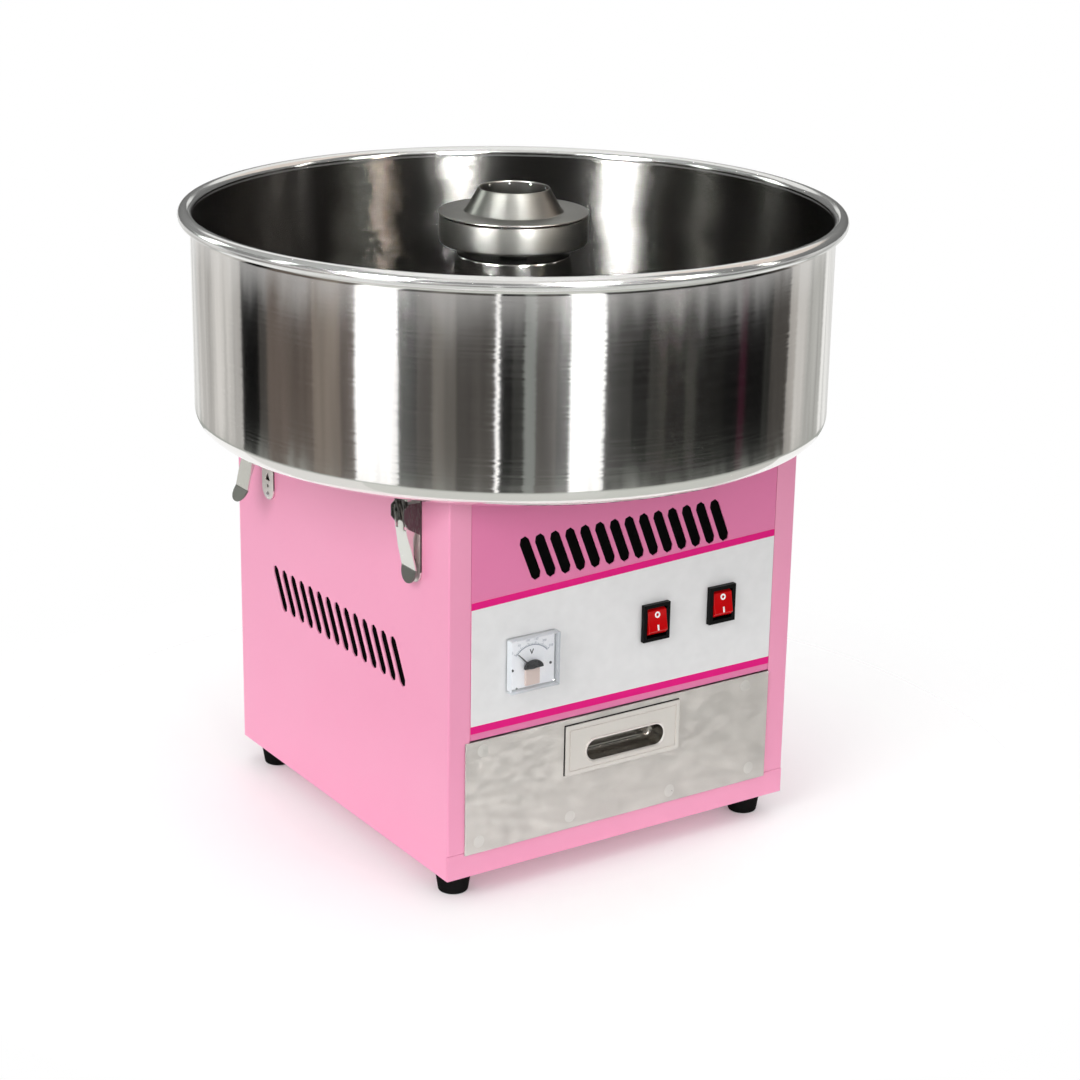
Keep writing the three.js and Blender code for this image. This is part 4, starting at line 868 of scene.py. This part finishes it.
def switches():
    """Two rockers: red, with a raised white ring above and a white bar below, in black bezels."""
    for which in ("heat", "power"):
        rounded(which + "_switch_body", 0.7, BLACK_ABS, segments=3)
        rocker = copy_of(which + "_switch_rocker")
        low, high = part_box(which + "_switch_rocker")
        centre = ((low[0] + high[0]) / 2 / MM, (low[2] + high[2]) / 2 / MM)
        edit(rocker)
        for height, reach, move in ROCKER_MOVES:
            pick_none()
            front = ROCKER_PLANE + reach
            pick_corners(lambda spot: abs(spot.z - centre[1] - height) < 1.2 and spot.y < front)
            bpy.ops.transform.translate(value=Vector(move) * MM)
        close()
        ring = turned(which + "_switch_ring", RING, 32)
        bar = block(which + "_switch_bar", (-0.75, -2.2, -0.1), (0.75, 2.2, 0.18))
        round_edges(bar, 0.06, 2)
        for mark, height in ((ring, RING_HEIGHT), (bar, BAR_HEIGHT)):
            lay(mark, *place_on(rocker, centre, height))
            add_on(mark, which + "_rocker", "dial_white", WHITE_INK)
        round_edges(rocker, 0.5, 4)
        coat(rocker, RED_PC)


# ---------------------------------------------------------------- drawer

def stadium(name, centre, length, height, near, far):
    """A bar along Y in mm with a stadium for its section: a rod whose two halves are moved apart."""
    piece = rod(name, (centre[0], (near + far) / 2, centre[1]), height / 2, far - near, 48, "Y")
    edit(piece)
    reach = (length - height) / 2 * MM
    for side in (1, -1):
        pick_none()
        pick_corners(lambda spot: (spot.x - centre[0]) * side > NEAR)
        bpy.ops.transform.translate(value=(reach * side, 0, 0))
    close()
    return piece


MOUTH = (-0.5, 100.8)
MOUTH_SIZE = (74, 18.5)
CUP_BACK = -153
CUP_FRONT = -168.7
PLATE_BACK = -167.8
DRAWER_FACE = -167.5


def handle():
    """The recessed pull: a pressed plate with a framed border on a dark sheet that is painted shadow of the
    gap round it, and a deep cup behind it.
    """
    plate = block("handle_plate", (-56.2, -169, 83.8), (51.4, PLATE_BACK, 125))
    cut_away(plate, stadium("mouth", MOUTH, *MOUTH_SIZE, -172, -160))
    groove = block("groove", (-53, -172, 87), (48.2, -168.3, 121.8))
    cut_away(groove, block("middle", (-52, -173, 88), (47.2, -168, 120.8)))
    cut_away(plate, groove)
    modify(plate, "BEVEL", width=0.22 * MM, segments=2, angle_limit=math.radians(35), limit_method="ANGLE",
           use_clamp_overlap=True)
    # A dark rubber sheet a little larger than the plate, behind it: painted shadow along the plate's top and
    # left edges.
    gap_shadow = block("handle_gap_shadow", (-57, -168.05, 84), (51.2, DRAWER_FACE + 0.05, 125.8))
    cut_away(gap_shadow, stadium("gap_shadow_mouth", MOUTH, 78, 22.5, -172, -160))
    round_edges(gap_shadow, 0.15)
    add_on(gap_shadow, "drawer", "rubber", RUBBER)
    cup = stadium("handle_cup", MOUTH, *MOUTH_SIZE, CUP_FRONT, CUP_BACK)
    edit(cup, "FACE")
    pick_faces(lambda middle, out: out.y < -0.9)
    bpy.ops.mesh.delete(type="FACE")
    pick_none()
    bpy.ops.mesh.select_mode(type="EDGE")
    pick_edges(lambda a, b: a.y > CUP_BACK - 0.1 and b.y > CUP_BACK - 0.1)
    bevel(5.5, 6)
    pick_none()
    pick_edges(lambda a, b: a.y < CUP_FRONT + 0.1 and b.y < CUP_FRONT + 0.1)
    extrude((0, -0.25 * MM, 0))
    bpy.ops.transform.resize(value=(1.02, 1, 1.09), center_override=(MOUTH[0] * MM, 0, MOUTH[1] * MM))
    pick_all()
    bpy.ops.mesh.normals_make_consistent(inside=False)
    close()
    modify(cup, "SOLIDIFY", thickness=0.9 * MM, offset=1.0)
    piece = joined("handle_pull", [plate, cup])
    smooth(piece, 35)
    modify(piece, "WEIGHTED_NORMAL", mode="FACE_AREA", weight=100, keep_sharp=True)
    stand_for(piece, "drawer_handle", PLATE_STEEL, CUP_SHADE_STEEL)
    # The cup's faces get the darker steel: painted shade inside the recess.
    second_coat(piece, lambda middle, out: middle.y > PLATE_BACK + 0.1)


WELD_SPOTS = ((-130, 122), (-133, 48), (-50, 48.5), (45, 48), (124, 49.5), (117, 122.5))
WELD = [(0.01, 0.16), (2.6, 0.14), (3.9, 0.05), (4.7, 0.0), (4.7, -0.1), (0.01, -0.1)]


def drawer():
    """The drawer: galvanised front with its spot welds, tray, and the recessed pull."""
    rounded("drawer_front", 0.3, GALVANISED)
    rounded("drawer_tray", 0.3, TRAY_STEEL)
    for i, (x, z) in enumerate(WELD_SPOTS):
        weld = turned("weld_spot_%d" % i, WELD, 32)
        edit(weld)
        pick_all()
        bpy.ops.transform.resize(value=(1.0, 1.12 - 0.05 * (i % 3), 1.0), center_override=(0, 0, 0))
        close()
        lay(weld, (x, DRAWER_FACE, z), (0, -1, 0))
        add_on(weld, "drawer", "dull_steel", WELD_STEEL)
    handle()


# ---------------------------------------------------------------- latches and back

LATCH_PIVOT = (171.5, 303)
LATCH_ROWS = (("front", -119), ("back", 111))
EARS_FROM = 162.2  # where a base plate ends and its ears begin
TIP = 259  # the height where a lever's tip begins
TIP_BEND = 14  # how far the tip is bent, in degrees
REST_OPEN = {"back_left": 25}  # how far a lever stands open at rest, in degrees
RIVET = [(0.01, 0), (2.1, 0), (2.1, 0.3), (1.7, 0.9), (0.9, 1.25), (0.01, 1.3)]


def turn_lever(piece, side, degrees):
    """Turns a piece of a latch about its lever's pivot: a positive angle opens it."""
    take(piece)
    pivot = Vector((side * LATCH_PIVOT[0], 0, LATCH_PIVOT[1])) * MM
    turn = Matrix.Rotation(math.radians(-side * degrees), 4, "Y")
    piece.matrix_world = Matrix.Translation(pivot) @ turn @ Matrix.Translation(-pivot)
    fixed()


def round_across(piece, inside, offset, segments):
    """Rounds the edges that run across a block, along Y, where both their ends pass a test."""
    edit(piece, "EDGE")
    pick_edges(lambda a, b: inside(a) and inside(b) and abs(a.y - b.y) < NEAR)
    bevel(offset, segments)


def latch(name, side, y):
    """One toggle latch: base plate, lever, bail, tongue, pad and rivet. The dark rubber pad under the base
    plate is painted shade seen through the plate's holes.
    """
    opened = REST_OPEN.get(name, 0)
    base = rounded("latch_base_" + name, 0.25, PLATE_STEEL, WIRE_AND_EAR_SHADE_STEEL, segments=3)
    # The ears beyond the plate get the dark steel: painted shade.
    second_coat(base, lambda middle, out: abs(middle.x) > EARS_FROM)
    lever = copy_of("latch_lever_" + name)
    turn_lever(lever, side, -opened)
    edit(lever)
    split_at(TIP)
    pick_none()
    pick_corners(lambda spot: spot.z < TIP - 0.1)
    bpy.ops.transform.rotate(value=math.radians(TIP_BEND * side), orient_axis="Y",
                             center_override=(side * 166 * MM, 0, TIP * MM))
    close()
    round_edges(lever, 0.35, 3)
    coat(lever, LATCH_STEEL, TIP_SHADE_STEEL)
    # The tip below the bend gets the darker steel: a painted dark reflection at the bend.
    second_coat(lever, lambda middle, out: middle.z < TIP - 0.1)
    turn_lever(lever, side, opened)
    rounded("latch_bail_" + name, 0.3, WIRE_AND_EAR_SHADE_STEEL, segments=3)
    tongue = block("latch_tongue_" + name, (side * 171.6, y - 3.7, 288.5), (side * 172.8, y + 3.7, 296.5))
    round_across(tongue, lambda spot: spot.z > 296, 2.4, 5)
    close()
    round_edges(tongue, 0.25)
    turn_lever(tongue, side, opened)
    add_on(tongue, "lever_" + name, SLOT_OF["latch_lever_" + name], LATCH_STEEL)
    # A dark rubber pad under the base plate: painted shade in its holes.
    shade_pad = block("latch_shade_pad_" + name, (side * 160.03, y - 8.6, 248.6), (side * 160.28, y + 8.6, 311))
    round_across(shade_pad, lambda spot: spot.z < 249, 8, 8)
    pick_all()
    bpy.ops.mesh.normals_make_consistent(inside=False)
    close()
    add_on(shade_pad, "cabinet", "rubber", RUBBER)
    head = lay(turned("latch_rivet_" + name, RIVET, 24), (side * 161.7, y, 251.5), (side, 0, 0))
    add_on(head, "cabinet", "zinc_steel", GROUND)


def latches():
    """Four toggle latches, two on each side."""
    for end, y in LATCH_ROWS:
        for hand, side in (("left", -1), ("right", 1)):
            latch(end + "_" + hand, side, y)


def back_screws():
    """Pan head screws along the back panel and round its inlet."""
    spots = [(x, z) for x in (-128, 0, 128) for z in (300, 34)] + [(-150, 170), (150, 170)]
    for i, (x, z) in enumerate(spots):
        piece = screw("back_screw_%d" % i, 3.2, (x, 166, z), (0, 1, 0), 15 + 23 * i)
        add_on(piece, "cabinet", "zinc_steel", ZINC)


# ---------------------------------------------------------------- light and stage

# Heights in metres between which a card's lower haze ends and its upper mist begins.
HAZE_FROM, HAZE_TO = 0.155, 0.185
MIST_FROM, MIST_TO = 0.34, 0.38


def glow(name, colour, strength, misty, deep):
    """The light of a card. A misty one pales towards its upper and lower edge, with clouds and streaks.
    Seen by way of two mirrors, as deep in the bowl, it has a share of its strength, called deep."""
    material = bpy.data.materials.new(name)
    material.use_nodes = True
    material.node_tree.nodes.clear()
    tone = linear(colour)
    light = add(material, "ShaderNodeEmission", {"Color": tone, "Strength": strength})
    add(material, "ShaderNodeOutputMaterial", {"Surface": light})
    if deep < 1:
        path = add(material, "ShaderNodeLightPath")
        once = add(material, "ShaderNodeMapRange", {"Value": path.outputs["Glossy Depth"], "From Min": 1.0,
                                                    "From Max": 2.0, "To Min": strength,
                                                    "To Max": strength * deep})
        link(material, once, light, "Strength")
    if misty:
        place = add(material, "ShaderNodeTexCoord").outputs["Object"]
        streak = add(material, "ShaderNodeMapping", {"Vector": place, "Scale": (1.0, 1.0, 0.12)})
        streaks = add(material, "ShaderNodeTexNoise", {"Vector": streak, "Scale": per_mm(45), "Detail": 3.0})
        vary = add(material, "ShaderNodeMapRange", {"Value": streaks, "From Min": 0.3, "From Max": 0.7,
                                                    "To Min": 0.72, "To Max": 1.28})
        base = add(material, "ShaderNodeVectorMath", {0: tone[:3], "Scale": vary}, operation="SCALE")
        height = add(material, "ShaderNodeSeparateXYZ", {"Vector": place})
        cloud = add(material, "ShaderNodeTexNoise", {"Vector": place, "Scale": per_mm(70), "Detail": 3.0})
        puff = add(material, "ShaderNodeMath", {0: cloud, 1: 0.08, 2: height.outputs["Z"]},
                   operation="MULTIPLY_ADD")
        under = add(material, "ShaderNodeMapRange", {"Value": puff, "From Min": HAZE_FROM,
                                                     "From Max": HAZE_TO, "To Min": 1.0, "To Max": 0.0})
        over = add(material, "ShaderNodeMapRange", {"Value": puff, "From Min": MIST_FROM,
                                                    "From Max": MIST_TO, "To Min": 0.0, "To Max": 0.5})
        mist = add(material, "ShaderNodeMix", {"Factor": over, "A": base, "B": linear("#E8E8E8")},
                   data_type="RGBA")
        haze = add(material, "ShaderNodeMix", {"Factor": under, "A": mist, "B": linear("#A9ACA7")},
                   data_type="RGBA")
        link(material, haze, light, "Color")
    return material


BLACK, NIGHT, DARK, SHADE = "#050505", "#141412", "#2C2C2A", "#4A4744"
STONE, BROWN, SAND, GREY = "#6A6661", "#5E554F", "#857B72", "#7A7E7B"
PALE, CHALK, WHITE = "#C8C6C3", "#E6E6E4", "#FFFFFF"
CREAM, WINE = "#DCCCC0", "#2A0A18"

# Studio cards that the polished bowl mirrors: degrees from the camera's side, and from there on their tone.
LOW_CARDS = [
    (-180, CHALK), (-132, PALE), (-121, "#B4B2AF"), (-114, PALE), (-93.5, BLACK), (-84, SHADE), (-80, BROWN),
    (-61, SAND), (-51, BROWN), (-46, WHITE), (-32.3, DARK), (-26.5, SHADE), (-22, STONE), (-15, SHADE),
    (-3.9, WHITE), (-2.7, BLACK), (0.9, DARK), (4.3, GREY), (7.6, SHADE), (13.5, DARK), (17.4, WHITE),
    (27.6, DARK), (36, NIGHT), (41, DARK), (47, NIGHT), (53.5, DARK), (57.5, NIGHT), (68, BLACK), (74, WINE),
    (77, BLACK), (85.5, DARK), (89, SHADE), (98.8, "#ABA8A4"), (104, PALE), (112, "#AFAFAC"), (128, CHALK),
    (180, CHALK),
]
FLOOR_CARDS = [(-96, CHALK), (-45, "#D2D4D0"), (30, "#CDD0CB"), (75, "#CFCFCB"), (100, PALE)]
TALL_CARDS = [
    (-180, NIGHT), (-140, DARK), (-110, NIGHT), (-80, DARK), (-66, NIGHT), (-20, BLACK), (18, DARK),
    (28, NIGHT), (60, BLACK), (80, NIGHT), (118, DARK), (128, NIGHT), (180, NIGHT),
]
UPPER_CARDS = [
    (-180, CHALK), (-140, STONE), (-125, GREY), (-32, PALE), (62, DARK), (97, CREAM), (150, CHALK),
    (180, CHALK),
]
PLATE_CARDS = [(174, CHALK), (186, CHALK)]
# The rings of cards: their name, cards, and lower and upper edge as radius and height in metres.
RINGS = (
    ("low", LOW_CARDS, (0.75, 0.07), (0.75, 0.45)), ("floor", FLOOR_CARDS, (0.31, 0.004), (0.75, 0.07)),
    ("tall", TALL_CARDS, (2.6, 0.0), (2.6, 1.6)), ("upper", UPPER_CARDS, (2.6, 1.6), (1.0, 2.4)),
    ("plate", PLATE_CARDS, (2.55, 0.8), (2.55, 1.13)),
)
# Tall soft boxes further off, seen in the bowl's back wall: from and to degrees, tone and strength.
SOFT_BOXES = [
    (-49.3, -35.6, WHITE, 180.0), (17.4, 27.6, WHITE, 230.0), (53.5, 56.0, CREAM, 140.0),
    (57, 66, GREY, 40.0), (90, 93, PALE, 15.0), (-81, -75, GREY, 25.0), (-122, -111, GREY, 25.0),
]
SOFT_RADIUS = 2.5
SOFT_HEIGHTS = ((0.55, 0.95), (1.14, 1.6))
DEEP = 0.015  # the share of a high card's strength that is left deep in the bowl


def card(name, tone, strength, misty=False, deep=1.0):
    """Turns the active mesh into a studio card: seen by metal and glass, and casting no shadow."""
    piece = bpy.context.object
    piece.name = name
    coat(piece, glow(name + "_light", tone, strength, misty, deep))
    piece.visible_camera = False
    piece.visible_diffuse = False
    piece.visible_shadow = False
    piece.visible_transmission = False


def standing_card(name, start, end, low, high, tone, strength):
    """A card spun about Z from a line between two points, each a radius and a height in metres."""
    first = math.radians(CAMERA_AZIMUTH + start)
    aim = Vector((math.sin(first), -math.cos(first), 0))
    ends = [(aim * radius + Vector((0, 0, height))) / MM for radius, height in (low, high)]
    drawn_line("card", ends)
    pick_all()
    bpy.ops.mesh.spin(steps=max(1, round((end - start) / 4)), dupli=False, center=(0, 0, 0),
                      angle=-math.radians(end - start), axis=(0, 0, 1))
    close()
    card(name, tone, strength, "low" in name, DEEP if "upper" in name or "soft" in name else 1.0)


def card_ring(ring, cards, low, high):
    """A ring of cards from their list of angles and tones."""
    for i, ((start, tone), (end, _)) in enumerate(zip(cards, cards[1:])):
        standing_card("card_%s_%02d" % (ring, i), start, end, low, high, tone, 1.2 if tone == WHITE else 1.0)


def walls():
    """Cards for the bowl's outside, its lower corner, its inside and the head, and a ceiling above."""
    for ring in RINGS:
        card_ring(*ring)
    for i, (start, end, tone, strength) in enumerate(SOFT_BOXES):
        for k, (low, high) in enumerate(SOFT_HEIGHTS):
            standing_card("card_soft_%02d_%d" % (i, k), start, end, (SOFT_RADIUS, low), (SOFT_RADIUS, high),
                          tone, strength)
    clear()
    bpy.ops.mesh.primitive_circle_add(vertices=64, radius=1.0, fill_type="NGON", location=(0, 0, 2.4))
    fixed()
    card("card_ceiling", CHALK, 1.0, deep=DEEP)


FADE_FROM, FADE_TO = 0.2, 0.55  # metres from the middle between which the floor fades away


def floor():
    """A pale round floor that fades into the white surroundings."""
    clear()
    bpy.ops.mesh.primitive_circle_add(vertices=96, radius=4.0, fill_type="NGON", location=(0, 0, -0.0002))
    ground = bpy.context.object
    ground.name = "studio_floor"
    fixed()
    material, shader, place = new_material("studio_floor_paper", Base_Color=linear("#FCFCFC"),
                                           Roughness=0.9)
    reach = add(material, "ShaderNodeVectorMath", {0: place}, operation="LENGTH")
    fade = add(material, "ShaderNodeMapRange", {"Value": reach, "From Min": FADE_FROM,
                                                "From Max": FADE_TO, "To Min": 0.85, "To Max": 0.0})
    link(material, fade, shader, "Alpha")
    coat(ground, material)


# Soft lamps: name, place, the spot that they point at, size in metres, and watts.
LAMPS = (
    ("key_lamp", (-2.2, -0.8, 1.5), (0, 0, 0.25), (1.6, 1.6), 33),
    ("front_lamp", (0.2, -2.4, 1.2), (0, 0, 0.2), (1.6, 1.2), 9),
    ("top_lamp", (0.3, 0.2, 2.6), (0, 0, 0.3), (2.0, 2.0), 30),
)
FILL = 0.55  # how bright the white surroundings are for dull surfaces


def lamp(name, place, aim, size, power):
    """A soft white area lamp pointed at a spot."""
    clear()
    bpy.ops.object.light_add(type="AREA", location=place)
    light = bpy.context.object
    light.name = name
    light.rotation_euler = (Vector(aim) - Vector(place)).to_track_quat("-Z", "Y").to_euler()
    light.data.shape = "RECTANGLE"
    light.data.size, light.data.size_y = size
    light.data.energy = power
    light.visible_glossy = False


def surroundings():
    """White all round for the eye, metal and glass, and a dimmer white that fills the shadows."""
    world = bpy.context.scene.world or bpy.data.worlds.new("studio")
    bpy.context.scene.world = world
    world.use_nodes = True
    world.node_tree.nodes.clear()
    path = add(world, "ShaderNodeLightPath")
    seen = add(world, "ShaderNodeMath", {0: path.outputs["Is Camera Ray"], 1: path.outputs["Is Glossy Ray"]},
               operation="ADD")
    sight = add(world, "ShaderNodeMath", {0: seen, 1: path.outputs["Is Transmission Ray"]},
                operation="ADD", use_clamp=True)
    level = add(world, "ShaderNodeMapRange", {"Value": sight, "To Min": FILL, "To Max": 1.0})
    sky = add(world, "ShaderNodeBackground", {"Color": (1, 1, 1, 1), "Strength": level})
    add(world, "ShaderNodeOutputWorld", {"Surface": sky})


def studio():
    """Camera, floor, reflection cards, lamps and surroundings."""
    make_camera()
    floor()
    walls()
    for settings in LAMPS:
        lamp(*settings)
    surroundings()
    bpy.context.scene.view_settings.view_transform = "Standard"


# ---------------------------------------------------------------- making

# Nodes that keep their shape, hidden or plain enough, and only get a material.
PLAIN = {
    "bowl_gasket": RUBBER, "drawer_runner_left": ZINC, "drawer_runner_right": ZINC,
    "meter_needle": BLACK_INK, "motor_bracket": ZINC, "motor_stator": LAMINATED,
    "motor_bell_top": CAST, "motor_bell_bottom": CAST, "motor_bearing_top": GROUND,
    "motor_bearing_bottom": GROUND, "rotor_shaft": LAMINATED, "slip_ring_hub": PHENOLIC,
    "slip_ring_lower": BRASS, "slip_ring_upper": BRASS, "brush_lower": CARBON, "brush_upper": CARBON,
    "brush_holder": PHENOLIC, "head_hub": CAST, "heater_ring": HEATER,
}
# Nodes that are copied with rounded edges: material, and the rounding in mm.
ROUNDED = {"meter_case": (BLACK_ABS, 0.4), "power_inlet": (BLACK_ABS, 0.3), "head_nut": (BRASS, 0.3)}


def make():
    """The whole machine in its studio."""
    studio()
    cabinet()
    vent_shade_screens()
    overlay()
    bowl()
    catches()
    head()
    head_details()
    feet()
    meter()
    switches()
    drawer()
    latches()
    back_screws()
    for node, material in PLAIN.items():
        coat(frame["nodes"][node], material)
    for node, (material, width) in ROUNDED.items():
        rounded(node, width, material)


make()
clear()
